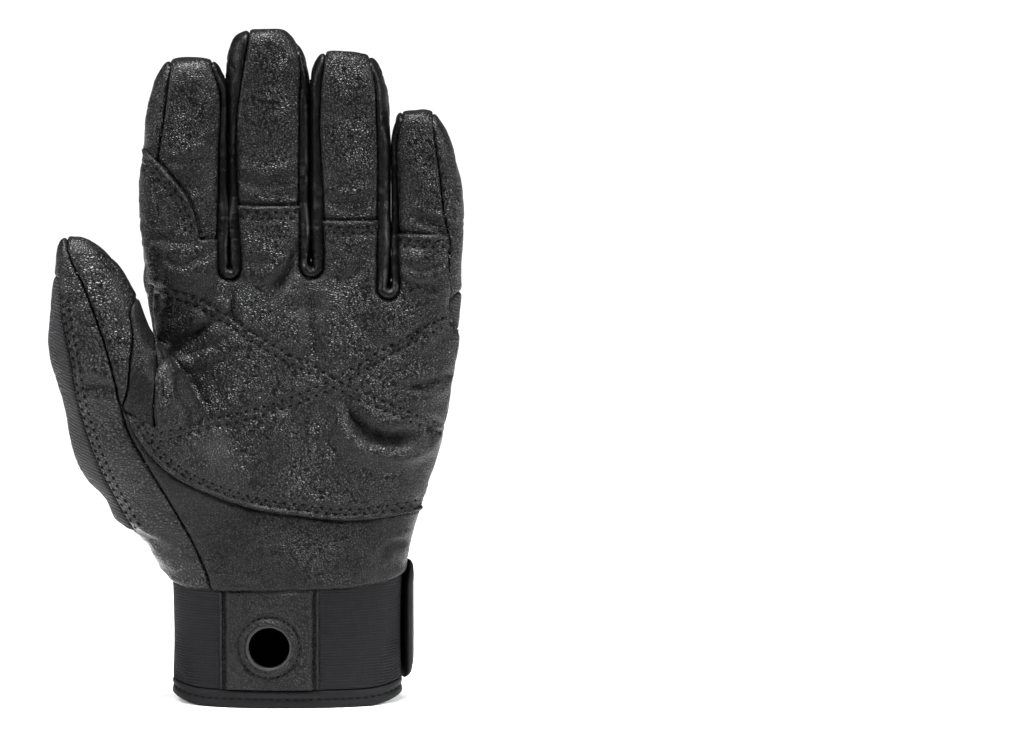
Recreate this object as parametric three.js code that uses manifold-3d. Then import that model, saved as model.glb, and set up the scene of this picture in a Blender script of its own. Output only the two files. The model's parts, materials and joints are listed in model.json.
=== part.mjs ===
// Climbing glove for the left hand, filled out as it is worn: fingers up, palm forward, thumb at the left.
// Millimetres. +Z runs up the fingers, -Y is the palm side, -X is the thumb side.
// The origin is the centre of the wrist opening, at the lower edge of its binding.

import * as THREE from 'three';
import { mergeVertices } from 'three/addons/utils/BufferGeometryUtils.js';
import Module from 'manifold-3d';

const wasm = await Module();
wasm.setup();

// Walls and clearances
const LEATHER = 1.2;          // leather wall of the hand, the fingers and the thumb
const PATCH = 1.3;            // second layer of leather on the palm
const ELASTIC = 1.6;          // ribbed elastic of the cuff
const TAB = 1.4;              // leather tab on the cuff
const STRAP = 3.4;            // hook-and-loop strap
const BINDING = 0.9;          // how far the binding stands out from the elastic, on both faces
const SEAM_GAP = 0.3;         // clearance between neighbouring pieces

// Wrist
const WRIST_WIDTH = 82;       // across the elastic
const WRIST_DEPTH = 44;       // palm side to back, over the elastic
const CUFF_HEIGHT = 43;       // wrist opening to the lower edge of the leather
const CUFF_TUCK = 3.5;        // how far the elastic goes up inside the leather
const BINDING_HEIGHT = 6.6;
const TAB_WIDTH = 36.6;
const TAB_SHIFT = 6;          // how far the tab sits towards the thumb
const HOLE_RADIUS = 7.4;      // clear hole for a carabiner
const HOLE_HEIGHT = 22.3;     // centre of the hole above the wrist opening
const RIM = 0.9;              // wall of the hole's rim
const RIM_PROUD = 0.4;        // how far the rim stands out of the tab and of the elastic
const STRAP_HEIGHT = 42;
const STRAP_RAISE = 8;        // lower edge of the strap above the wrist opening
const STRAP_STAND_OFF = 0.7;  // air between the strap and what it is closed over
const STRAP_REACH = 54;       // how far the strap runs round the back from the outer side
const STRAP_CORNER = 9;
const STRAP_FLARE = 0.06;     // how far the strap's upper edge stands out, as a share of PALM_DEPTH
const STRAP_FRONT = 0.05;     // front edge of the strap, as a share of WRIST_DEPTH before the axis

// Hand
const PALM_LENGTH = 109.7;    // lower edge of the leather to the line of the finger crotches
const PALM_DEPTH = 38;
const KNUCKLE_SHIFT = 5.6;    // the knuckles sit towards the little finger by this much
const FINGER_GAP = 1.1;       // air between two fingers
const RIDGE = 3.6;            // rolled edge of a fourchette, seen below the crotch
const CURL = 5;               // how far the fingertips bend towards the palm
const THUMB_SPAN = 85.4;      // wrist axis to the outermost point of the thumb
const THUMB_RISE = 126.7;     // lower edge of the leather to the thumb's tip
const THUMB_DEPTH = 30;

// Fingers, from the thumb's side to the outer side. dip is how far the crotch on the outer side of the
// finger lies below the crotch line, as a share of PALM_LENGTH.
const FINGERS = [
  { name: 'index', width: 33.3, depth: 27, length: 81.8, dip: -0.052 },
  { name: 'middle', width: 28.3, depth: 27, length: 92.7, dip: -0.058 },
  { name: 'ring', width: 27.9, depth: 26.5, length: 84.3, dip: 0.012 },
  { name: 'little', width: 26.8, depth: 24.5, length: 63.7, dip: 0 },
];

// Sections of each finger. up is a share of the finger's length above the crotch line, left and right
// are shares of its width from its axis.
const FINGER_SIDES = {
  index: [
    { up: -0.155, left: 0.174, right: 0.42 }, { up: 0, left: 0.348, right: 0.5 },
    { up: 0.177, left: 0.417, right: 0.5 }, { up: 0.354, left: 0.45, right: 0.5 },
    { up: 0.531, left: 0.438, right: 0.494 }, { up: 0.708, left: 0.393, right: 0.489 },
    { up: 0.854, left: 0.336, right: 0.483 }, { up: 0.92, left: 0.288, right: 0.461 },
    { up: 0.962, left: 0.222, right: 0.42 }, { up: 0.99, left: 0.163, right: 0.371 },
    { up: 1, left: 0.12, right: 0.337 },
  ],
  middle: [
    { up: -0.137, left: 0.44, right: 0.44 }, { up: 0, left: 0.49, right: 0.5 },
    { up: 0.312, left: 0.493, right: 0.5 }, { up: 0.527, left: 0.527, right: 0.487 },
    { up: 0.703, left: 0.553, right: 0.493 }, { up: 0.82, left: 0.587, right: 0.507 },
    { up: 0.887, left: 0.56, right: 0.47 }, { up: 0.938, left: 0.507, right: 0.373 },
    { up: 0.977, left: 0.425, right: 0.277 }, { up: 1, left: 0.29, right: 0.21 },
  ],
  ring: [
    { up: -0.15, left: 0.44, right: 0.44 }, { up: 0, left: 0.49, right: 0.49 },
    { up: 0.343, left: 0.5, right: 0.486 }, { up: 0.579, left: 0.514, right: 0.517 },
    { up: 0.751, left: 0.527, right: 0.527 }, { up: 0.863, left: 0.54, right: 0.48 },
    { up: 0.923, left: 0.52, right: 0.405 }, { up: 0.966, left: 0.459, right: 0.318 },
    { up: 0.99, left: 0.39, right: 0.22 }, { up: 1, left: 0.33, right: 0.142 },
  ],
  little: [
    { up: -0.2, left: 0.42, right: 0.31 }, { up: -0.06, left: 0.486, right: 0.388 },
    { up: 0.114, left: 0.5, right: 0.425 }, { up: 0.341, left: 0.5, right: 0.47 },
    { up: 0.54, left: 0.5, right: 0.426 }, { up: 0.71, left: 0.5, right: 0.345 },
    { up: 0.824, left: 0.5, right: 0.277 }, { up: 0.909, left: 0.479, right: 0.196 },
    { up: 0.96, left: 0.45, right: 0.115 }, { up: 0.989, left: 0.4, right: 0.054 },
    { up: 1, left: 0.345, right: 0 },
  ],
};

// Depth of any finger on the same scale of up, as shares of its depth before and behind its axis.
const FINGER_DEPTHS = [
  { up: -0.15, front: 0.42, back: 0.4 }, { up: 0, front: 0.56, back: 0.52 },
  { up: 0.3, front: 0.54, back: 0.5 }, { up: 0.55, front: 0.52, back: 0.48 },
  { up: 0.75, front: 0.5, back: 0.46 }, { up: 0.86, front: 0.47, back: 0.43 },
  { up: 0.92, front: 0.43, back: 0.38 }, { up: 0.965, front: 0.37, back: 0.3 },
  { up: 0.99, front: 0.3, back: 0.2 }, { up: 1, front: 0.24, back: 0.12 },
];

// Seams down the front of each finger: across is a share of the width from the axis, left is negative.
const FINGER_SEAMS = {
  index: {
    left: [{ up: 1.2, across: -0.11 }, { up: 0.955, across: -0.125 }, { up: 0.74, across: -0.185 },
      { up: 0.566, across: -0.253 }, { up: 0.3, across: -0.32 }, { up: -0.1, across: -0.34 }],
    right: [{ up: 1.2, across: 0.34 }, { up: 0.985, across: 0.345 }, { up: 0.885, across: 0.42 },
      { up: 0.6, across: 0.42 }, { up: 0.2, across: 0.412 }],
  },
  middle: {
    left: [{ up: 1.2, across: -0.26 }, { up: 0.953, across: -0.273 }, { up: 0.832, across: -0.34 },
      { up: 0.668, across: -0.42 }, { up: 0.45, across: -0.43 }, { up: 0.12, across: -0.39 }],
    right: [{ up: 1.2, across: 0.3 }, { up: 0.985, across: 0.3 }, { up: 0.9, across: 0.39 },
      { up: 0.7, across: 0.395 }, { up: 0.12, across: 0.38 }],
  },
  ring: {
    left: [{ up: 1.2, across: -0.32 }, { up: 0.974, across: -0.338 }, { up: 0.885, across: -0.378 },
      { up: 0.75, across: -0.405 }, { up: 0.4, across: -0.365 }, { up: 0.15, across: -0.34 }],
    right: [{ up: 1.2, across: 0.24 }, { up: 0.97, across: 0.257 }, { up: 0.914, across: 0.311 },
      { up: 0.73, across: 0.351 }, { up: 0.15, across: 0.365 }],
  },
  little: {
    left: [{ up: 1.2, across: -0.37 }, { up: 0.983, across: -0.373 }, { up: 0.85, across: -0.435 },
      { up: 0.41, across: -0.445 }, { up: 0.05, across: -0.43 }],
    right: [{ up: 1.2, across: 0.05 }, { up: 0.96, across: 0.063 }, { up: 0.79, across: 0.092 },
      { up: 0.625, across: 0.148 }, { up: 0.449, across: 0.19 }, { up: 0.267, across: 0.26 },
      { up: 0.125, across: 0.303 }, { up: -0.1, across: 0.335 }],
  },
};

// Sections of the hand above the wrist. up is a share of PALM_LENGTH. left and right go from 0 at the
// wrist's half width to 1 at the knuckles'. front and back are shares of PALM_DEPTH.
const HAND_SECTIONS = [
  { up: 0.091, left: 0.21, right: 0.13, front: 0.592, back: 0.605 },
  { up: 0.175, left: 0.36, right: 0.2, front: 0.553, back: 0.579 },
  { up: 0.286, left: 0.48, right: 0.31, front: 0.526, back: 0.553 },
  { up: 0.416, left: 0.58, right: 0.46, front: 0.513, back: 0.526 },
  { up: 0.545, left: 0.57, right: 0.59, front: 0.503, back: 0.515 },
  { up: 0.675, left: 0.47, right: 0.71, front: 0.492, back: 0.5 },
  { up: 0.773, left: 0.4, right: 0.8, front: 0.48, back: 0.487 },
  { up: 0.838, left: 0.4, right: 0.83, front: 0.465, back: 0.474 },
  { up: 0.935, left: 0.56, right: 0.87, front: 0.425, back: 0.434 },
  { up: 1, left: 0.6, right: 0.88, front: 0.38, back: 0.395 },
  { up: 1.071, left: 0.53, right: 0.84, front: 0.29, back: 0.29 },
];
const WRIST_ROW = 0.045;      // share of PALM_LENGTH over which the leather keeps the wrist's own section

// Sections of the thumb and its root. up is a share of THUMB_RISE, left and right are shares of
// THUMB_SPAN from the wrist axis, front and back are shares of THUMB_DEPTH from the wrist axis.
const THUMB_SECTIONS = [
  { up: 0.046, left: 0.466, right: 0.216, front: 0.533, back: 0.2 },
  { up: 0.149, left: 0.61, right: 0.14, front: 0.68, back: 0.367 },
  { up: 0.174, left: 0.69, right: 0.13, front: 0.73, back: 0.4 },
  { up: 0.251, left: 0.771, right: 0.13, front: 0.82, back: 0.4 },
  { up: 0.326, left: 0.86, right: 0.17, front: 0.92, back: 0.4 },
  { up: 0.411, left: 0.903, right: 0.25, front: 1.02, back: 0.333 },
  { up: 0.497, left: 0.928, right: 0.33, front: 1.09, back: 0.233 },
  { up: 0.583, left: 0.962, right: 0.415, front: 1.15, back: 0.1 },
  { up: 0.669, left: 0.994, right: 0.492, front: 1.167, back: -0.033 },
  { up: 0.754, left: 0.992, right: 0.581, front: 1.167, back: -0.167 },
  { up: 0.84, left: 0.987, right: 0.64, front: 1.15, back: -0.233 },
  { up: 0.903, left: 0.97, right: 0.695, front: 1.1, back: -0.283 },
  { up: 0.949, left: 0.953, right: 0.754, front: 1.033, back: -0.35 },
  { up: 0.977, left: 0.939, right: 0.797, front: 0.967, back: -0.433 },
  { up: 0.993, left: 0.922, right: 0.839, front: 0.883, back: -0.533 },
  { up: 1, left: 0.903, right: 0.869, front: 0.8, back: -0.617 },
];

// Seams of the thumb. out is a share of THUMB_SPAN, up is a share of THUMB_RISE, forward is a share
// of THUMB_DEPTH.
const MAIN_SEAM = [
  { out: 0.9, up: 1.1 }, { out: 0.915, up: 0.986 }, { out: 0.847, up: 0.889 }, { out: 0.78, up: 0.774 },
  { out: 0.725, up: 0.649 }, { out: 0.691, up: 0.543 }, { out: 0.657, up: 0.466 }, { out: 0.589, up: 0.377 },
  { out: 0.47, up: 0.234 }, { out: 0.352, up: 0.074 }, { out: 0.292, up: -0.05 },
];
const INNER_SEAM = [
  { out: 0.6, up: 0.86 }, { out: 0.64, up: 0.81 }, { out: 0.631, up: 0.737 }, { out: 0.644, up: 0.671 },
  { out: 0.661, up: 0.577 }, { out: 0.684, up: 0.531 },
];
const PALM_CREASE = [
  { out: 0.6, up: 0.86 }, { out: 0.578, up: 0.78 }, { out: 0.54, up: 0.7 }, { out: 0.532, up: 0.651 },
  { out: 0.54, up: 0.58 }, { out: 0.572, up: 0.497 }, { out: 0.64, up: 0.44 },
];
const FABRIC_BORDER = [
  { out: 1.2, up: 0.903 }, { out: 0.955, up: 0.903 }, { out: 0.932, up: 0.774 }, { out: 0.903, up: 0.674 },
  { out: 0.873, up: 0.543 }, { out: 0.805, up: 0.389 }, { out: 0.729, up: 0.269 }, { out: 0.64, up: 0.16 },
  { out: 1.2, up: 0.16 },
];
const THUMB_BACK_EDGE = [
  { out: 0.54, up: 0.903 }, { out: 0.54, up: 0.72 }, { out: 0.568, up: 0.537 }, { out: 0.61, up: 0.309 },
  { out: 0.64, up: 0.16 },
];
const THUMB_SPLIT = [
  { forward: 0.56, up: 0.903 }, { forward: 0.53, up: 0.754 }, { forward: 0.34, up: 0.583 },
  { forward: 0.17, up: 0.411 }, { forward: 0.03, up: 0.251 }, { forward: -0.05, up: 0.16 },
];

// Lower edge of the palm patch. out is a share of the knuckles' half width from the wrist axis on its
// own side, right is positive; up is a share of PALM_LENGTH.
const PATCH_LOWER_EDGE = [
  { out: 1.2, up: 0.256 }, { out: 0.754, up: 0.253 }, { out: 0.497, up: 0.234 }, { out: 0.29, up: 0.231 },
  { out: 0.078, up: 0.247 }, { out: -0.209, up: 0.269 }, { out: -0.54, up: 0.334 }, { out: -0.723, up: 0.383 },
  { out: -0.939, up: 0.481 },
];
// Side of the patch between the thumb and the index finger, in the same shares.
const PATCH_SIDE = [{ out: -0.951, up: 0.916 }, { out: -1.019, up: 1 }, { out: -1.15, up: 1.12 }];
// Slanting upper edge of the patch over the root of the index finger, in that finger's shares.
const PATCH_INDEX_EDGE = [
  { up: 0.63, across: -0.8 }, { up: 0.619, across: -0.455 }, { up: 0.562, across: -0.264 },
  { up: 0.482, across: -0.084 }, { up: 0.411, across: 0.05 }, { up: 0.332, across: 0.14 },
  { up: 0.208, across: 0.208 }, { up: 0.208, across: 0.55 },
];
// Straight upper edges on the other fingers, as shares of their length above the crotch line.
const PATCH_EDGES = { middle: 0.305, ring: 0.27, little: 0.278 };

// Main folds of the palm: each sinks the palm side along a line, with shares as in the patch's lower
// edge. depth and spread are shares of PALM_DEPTH.
const FOLDS = [
  { from: { out: -0.36, up: 0.96 }, to: { out: -0.33, up: 0.8 }, depth: 0.055, spread: 0.16 },
  { from: { out: 0.16, up: 0.97 }, to: { out: 0.18, up: 0.74 }, depth: 0.06, spread: 0.17 },
  { from: { out: 0.57, up: 0.9 }, to: { out: 0.52, up: 0.74 }, depth: 0.04, spread: 0.15 },
  { from: { out: -0.8, up: 0.73 }, to: { out: -0.48, up: 0.83 }, depth: 0.06, spread: 0.13 },
  { from: { out: -0.78, up: 0.66 }, to: { out: -0.5, up: 0.45 }, depth: 0.06, spread: 0.14 },
  { from: { out: 0.34, up: 0.62 }, to: { out: 0.8, up: 0.48 }, depth: 0.05, spread: 0.17 },
  { from: { out: -0.05, up: 0.42 }, to: { out: 0.45, up: 0.44 }, depth: 0.035, spread: 0.2 },
];

const WRIST_POWER = 2.3;      // roundness of a section: 2 is an ellipse, more is squarer
const HAND_POWER = 2.6;
const FINGER_POWER = 2.7;
const THUMB_POWER = 2.3;
const CUFF_SIDES = 28;        // sides of a section, the same for the cuff and the hand, which fit together
const OUTER_SIDES = { finger: 14, thumb: 16 };
const INNER_SIDES = { finger: 10, thumb: 12 };
const ROUND_HOLE_SIDES = 16;
const FAR = 400;              // past every edge of the glove
const PAST = 1.2;             // share of a length that reaches past its end
const OVERCUT = 1;            // how far a cutter reaches past the face it cuts
const MITRE_LIMIT = 0.4;      // least cosine at which a corner is still mitred in full
const ARC_STEPS = 6;          // steps round a crotch
const CORNER_STEPS = 4;       // steps round a corner of the strap

// Places where panels meet
const SIDE_SEAM = 0.08;       // palm side and back of the hand, as a share of PALM_DEPTH behind the axis
const FINGER_SEAM = 0.27;     // front and back of a finger, as a share of its depth behind its axis
const FINGER_FOOT = 1.085;    // lower end of the finger panels under the patch, as a share of PALM_LENGTH
const FINGER_JOINT = 0.36;    // lower end of a finger's leather back, as a share of its length
const SIDEWALL_REACH = 0.75;  // outer end of a sidewall's outline, as a share of the finger's width
const SEAMS_MEET = 6;         // rows of MAIN_SEAM above the place where INNER_SEAM joins it
const STEP_LEAN = 0.01;       // keeps the steps of the patch's upper edge from standing quite upright
const FOLD_FADE = 0.35;       // depth where a fold is at its full depth, as a share of PALM_DEPTH
const BINDING_ROUND = 0.2;    // rounding of the binding, as a share of its height

// Worked-out places
const knuckleWidth = FINGERS.reduce((sum, f) => sum + f.width, 0) + 3 * FINGER_GAP;
const knuckleLeft = knuckleWidth / 2 - KNUCKLE_SHIFT;
const knuckleRight = knuckleWidth / 2 + KNUCKLE_SHIFT;
const sideSeam = SIDE_SEAM * PALM_DEPTH;
const fingerCut = FINGER_FOOT * PALM_LENGTH;
let fingerEdge = -knuckleLeft;
for (const finger of FINGERS) {
  finger.axis = fingerEdge + finger.width / 2;
  fingerEdge += finger.width + FINGER_GAP;
}
const byName = Object.fromEntries(FINGERS.map((finger) => [finger.name, finger]));

const toSolid = (geometry) => {
  geometry.deleteAttribute('normal');
  geometry.deleteAttribute('uv');
  const merged = mergeVertices(geometry, 1e-4);
  return new wasm.Manifold(new wasm.Mesh({
    numProp: 3,
    vertProperties: Float32Array.from(merged.attributes.position.array),
    triVerts: Uint32Array.from(merged.index.array),
  }));
};

const toGeometry = (solid) => {
  const { vertProperties, triVerts, numProp } = solid.getMesh();
  const position = new Float32Array(vertProperties.length / numProp * 3);
  for (let i = 0; i < position.length / 3; i += 1) {
    for (let k = 0; k < 3; k += 1) position[3 * i + k] = vertProperties[numProp * i + k];
  }
  const geometry = new THREE.BufferGeometry();
  geometry.setAttribute('position', new THREE.BufferAttribute(position, 3));
  geometry.setIndex(new THREE.BufferAttribute(Uint32Array.from(triVerts), 1));
  geometry.computeVertexNormals();
  return geometry;
};

const join = (solids) => solids.reduce((sum, solid) => sum.add(solid));

// A row of a table at a given up, between the two rows around it.
const readTable = (table, up) => {
  const upper = table.findIndex((row) => row.up >= up);
  if (upper === 0) return table[0];
  if (upper < 0) return table[table.length - 1];
  const [a, b] = [table[upper - 1], table[upper]];
  const t = (up - a.up) / (b.up - a.up);
  return Object.fromEntries(Object.keys(a).map((key) => [key, a[key] + t * (b[key] - a[key])]));
};

// One level rounded section: x0 to x1 and y0 to y1 at height z, as a ring of points.
const ring = ({ x0, x1, y0, y1, z, power }, sides) => {
  const points = [];
  for (let i = 0; i < sides; i += 1) {
    const angle = 2 * Math.PI * (i + 0.5) / sides;
    const c = Math.cos(angle);
    const s = Math.sin(angle);
    points.push(new THREE.Vector3(
      (x0 + x1) / 2 + (x1 - x0) / 2 * Math.sign(c) * Math.abs(c) ** (2 / power),
      (y0 + y1) / 2 + (y1 - y0) / 2 * Math.sign(s) * Math.abs(s) ** (2 / power),
      z,
    ));
  }
  return points;
};

// Closed solid through level sections, lowest first. bend may move each point.
const loft = (sections, sides, bend) => {
  const position = [];
  const index = [];
  for (const section of sections) {
    for (const point of ring(section, sides)) {
      if (bend) bend(point);
      position.push(point.x, point.y, point.z);
    }
  }
  for (let level = 0; level + 1 < sections.length; level += 1) {
    for (let i = 0; i < sides; i += 1) {
      const a = level * sides + i;
      const b = level * sides + (i + 1) % sides;
      index.push(a, b, b + sides, a, b + sides, a + sides);
    }
  }
  for (const level of [0, sections.length - 1]) {
    const { x0, x1, y0, y1, z } = sections[level];
    const centre = position.length / 3;
    position.push((x0 + x1) / 2, (y0 + y1) / 2, z);
    for (let i = 0; i < sides; i += 1) {
      const a = level * sides + i;
      const b = level * sides + (i + 1) % sides;
      if (level === 0) index.push(centre, b, a);
      else index.push(centre, a, b);
    }
  }
  const geometry = new THREE.BufferGeometry();
  geometry.setAttribute('position', new THREE.Float32BufferAttribute(position, 3));
  geometry.setIndex(index);
  return toSolid(geometry);
};

// Prism with the outline [x, z] between two depths, palm side first.
const prism = (outline, front = -FAR, back = FAR) => {
  const shape = new THREE.Shape(outline.map(([x, z]) => new THREE.Vector2(x, z)));
  const geometry = new THREE.ExtrudeGeometry(shape, { depth: back - front, bevelEnabled: false });
  geometry.rotateX(Math.PI / 2);
  geometry.translate(0, back, 0);
  return toSolid(geometry);
};

// Prism with the outline [y, z] between two widths.
const sidePrism = (outline, left = -FAR, right = FAR) => {
  const shape = new THREE.Shape(outline.map(([y, z]) => new THREE.Vector2(y, z)));
  const geometry = new THREE.ExtrudeGeometry(shape, { depth: right - left, bevelEnabled: false });
  geometry.rotateX(Math.PI / 2);
  geometry.rotateZ(Math.PI / 2);
  geometry.translate(left, 0, 0);
  return toSolid(geometry);
};

const box = (x0, x1, z0, z1) => [[x0, z0], [x1, z0], [x1, z1], [x0, z1]];

// Outline moved outwards by a distance, mitred at its corners.
const outset = (outline, distance) => {
  const area = outline.reduce((sum, [x, z], i) => {
    const [nextX, nextZ] = outline[(i + 1) % outline.length];
    return sum + x * nextZ - nextX * z;
  }, 0);
  const turn = Math.sign(area);
  return outline.map((point, i) => {
    const before = outline[(i + outline.length - 1) % outline.length];
    const after = outline[(i + 1) % outline.length];
    const a = new THREE.Vector2(point[0] - before[0], point[1] - before[1]).normalize();
    const b = new THREE.Vector2(after[0] - point[0], after[1] - point[1]).normalize();
    const normal = new THREE.Vector2(a.y + b.y, -a.x - b.x).normalize();
    const reach = turn * distance / Math.max(MITRE_LIMIT, normal.x * b.y - normal.y * b.x);
    return [point[0] + normal.x * reach, point[1] + normal.y * reach];
  });
};

// A region of the glove: what a piece takes, and the same grown by the seam's clearance.
const region = (outline, front = -FAR, back = FAR) => ({
  takes: prism(outline, front, back),
  clears: prism(outset(outline, SEAM_GAP), front - SEAM_GAP, back + SEAM_GAP),
});
const sideRegion = (outline) => ({ takes: sidePrism(outline), clears: sidePrism(outset(outline, SEAM_GAP)) });
const overlapOf = (a, b) => ({ takes: a.takes.intersect(b.takes), clears: a.clears.intersect(b.clears) });
const sumOf = (a, b) => ({ takes: a.takes.add(b.takes), clears: a.clears.add(b.clears) });

// The hand's group starts at the leather's lower edge, so its z is counted from there.
const wristSection = (grow, z) => ({
  x0: -WRIST_WIDTH / 2 - grow, x1: WRIST_WIDTH / 2 + grow,
  y0: -WRIST_DEPTH / 2 - grow, y1: WRIST_DEPTH / 2 + grow,
  z, power: WRIST_POWER,
});

const handSections = (grow) => {
  const wristGrow = SEAM_GAP + LEATHER + grow;
  const halfWrist = WRIST_WIDTH / 2 + SEAM_GAP + LEATHER;
  const mix = (a, b, t) => a + t * (b - a);
  const rows = HAND_SECTIONS.map((row) => ({
    x0: -mix(halfWrist, knuckleLeft, row.left) - grow,
    x1: mix(halfWrist, knuckleRight, row.right) + grow,
    y0: -row.front * PALM_DEPTH - grow,
    y1: row.back * PALM_DEPTH + grow,
    z: row.up * PALM_LENGTH + grow,
    power: HAND_POWER,
  }));
  const start = Math.min(grow, 0);
  return [wristSection(wristGrow, start), wristSection(wristGrow, start + WRIST_ROW * PALM_LENGTH), ...rows];
};

const fingerSections = (finger, grow) => FINGER_SIDES[finger.name].map((row) => {
  const { front, back } = readTable(FINGER_DEPTHS, row.up);
  const curl = -CURL * Math.max(0, row.up) ** 2;
  return {
    x0: finger.axis - row.left * finger.width - grow,
    x1: finger.axis + row.right * finger.width + grow,
    y0: curl - front * finger.depth - grow,
    y1: curl + back * finger.depth + grow,
    z: PALM_LENGTH + row.up * finger.length + grow,
    power: FINGER_POWER,
  };
});

const thumbSections = (grow) => THUMB_SECTIONS.map((row) => ({
  x0: -row.left * THUMB_SPAN - grow,
  x1: -row.right * THUMB_SPAN + grow,
  y0: -row.front * THUMB_DEPTH - grow,
  y1: row.back * THUMB_DEPTH + grow,
  z: row.up * THUMB_RISE + grow,
  power: THUMB_POWER,
}));

const palmPoint = ({ out, up }) => [out * (out < 0 ? knuckleLeft : knuckleRight), up * PALM_LENGTH];

// Sinks the palm side of a point into the folds that pass near it.
const foldPalm = (point) => {
  if (point.y > 0) return;
  for (const fold of FOLDS) {
    const a = new THREE.Vector3(...palmPoint(fold.from), 0);
    const b = new THREE.Vector3(...palmPoint(fold.to), 0);
    const nearest = new THREE.Vector3();
    const here = new THREE.Vector3(point.x, point.z, 0);
    new THREE.Line3(a, b).closestPointToPoint(here, true, nearest);
    const distance = here.distanceTo(nearest) / (fold.spread * PALM_DEPTH);
    const fade = Math.min(1, -point.y / (FOLD_FADE * PALM_DEPTH));
    point.y += fade * fold.depth * PALM_DEPTH * Math.exp(-distance * distance);
  }
};

// Air between two fingers, down to a round crotch.
const crotchSlot = (i, grow) => {
  const [finger, next] = [FINGERS[i], FINGERS[i + 1]];
  const middle = (finger.axis + finger.width / 2 + next.axis - next.width / 2) / 2;
  const half = FINGER_GAP / 2 - grow;
  const bottom = PALM_LENGTH * (1 - finger.dip) + grow;
  const outline = [[middle - half, PALM_LENGTH + next.length / 2], [middle - half, bottom + half]];
  for (let k = 1; k < ARC_STEPS; k += 1) {
    const angle = Math.PI * (1 + k / ARC_STEPS);
    outline.push([middle + half * Math.cos(angle), bottom + half + half * Math.sin(angle)]);
  }
  outline.push([middle + half, bottom + half], [middle + half, PALM_LENGTH + next.length / 2]);
  return prism(outline);
};

// The whole filled hand, grown or shrunk by a distance.
const handVolume = (grow) => {
  const sides = grow < 0 ? INNER_SIDES : OUTER_SIDES;
  const fingers = FINGERS.map((finger) => loft(fingerSections(finger, grow), sides.finger));
  const body = loft(handSections(grow), CUFF_SIDES, foldPalm);
  const thumb = loft(thumbSections(grow), sides.thumb);
  let volume = join([body, thumb, ...fingers]);
  if (FINGER_GAP / 2 - grow > 0) {
    for (let i = 0; i + 1 < FINGERS.length; i += 1) volume = volume.subtract(crotchSlot(i, grow));
  }
  return volume;
};

const largestBody = (solid) => solid.decompose().reduce((a, b) => (a.volume() > b.volume() ? a : b));

// Points of a finger's seam, from above the tip down.
const seamPoints = (finger, side) => FINGER_SEAMS[finger.name][side].map((point) => [
  finger.axis + point.across * finger.width,
  PALM_LENGTH + point.up * finger.length,
]);

// U-shaped outline of the strip between two fingers, with a round lower end.
const fourchetteOutline = (i) => {
  const [finger, next] = [FINGERS[i], FINGERS[i + 1]];
  const down = seamPoints(finger, 'right');
  const up = seamPoints(next, 'left').reverse();
  const leftEnd = down[down.length - 1];
  const rightEnd = up[0];
  const bottom = PALM_LENGTH * (1 - finger.dip) - RIDGE;
  const middle = (leftEnd[0] + rightEnd[0]) / 2;
  const half = (rightEnd[0] - leftEnd[0]) / 2;
  const curve = [];
  for (let k = 0; k <= ARC_STEPS; k += 1) {
    const angle = Math.PI * (1 + k / ARC_STEPS);
    curve.push([middle + half * Math.cos(angle), bottom + half * (1 + Math.sin(angle))]);
  }
  return [...down, ...curve, ...up];
};

// Strip down the free side of the first or last finger.
const sidewallOutline = (finger, side) => {
  const seam = seamPoints(finger, side).filter(([, z]) => z > fingerCut);
  const foot = seamPoints(finger, side).find(([, z]) => z <= fingerCut);
  const edge = finger.axis + (side === 'left' ? -SIDEWALL_REACH : SIDEWALL_REACH) * finger.width;
  return [[edge, seam[0][1]], ...seam, [foot[0], fingerCut], [edge, fingerCut]];
};

const thumbPoint = ({ out, up }) => [-out * THUMB_SPAN, up * THUMB_RISE];
const lastPoint = (list) => list[list.length - 1];

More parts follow.
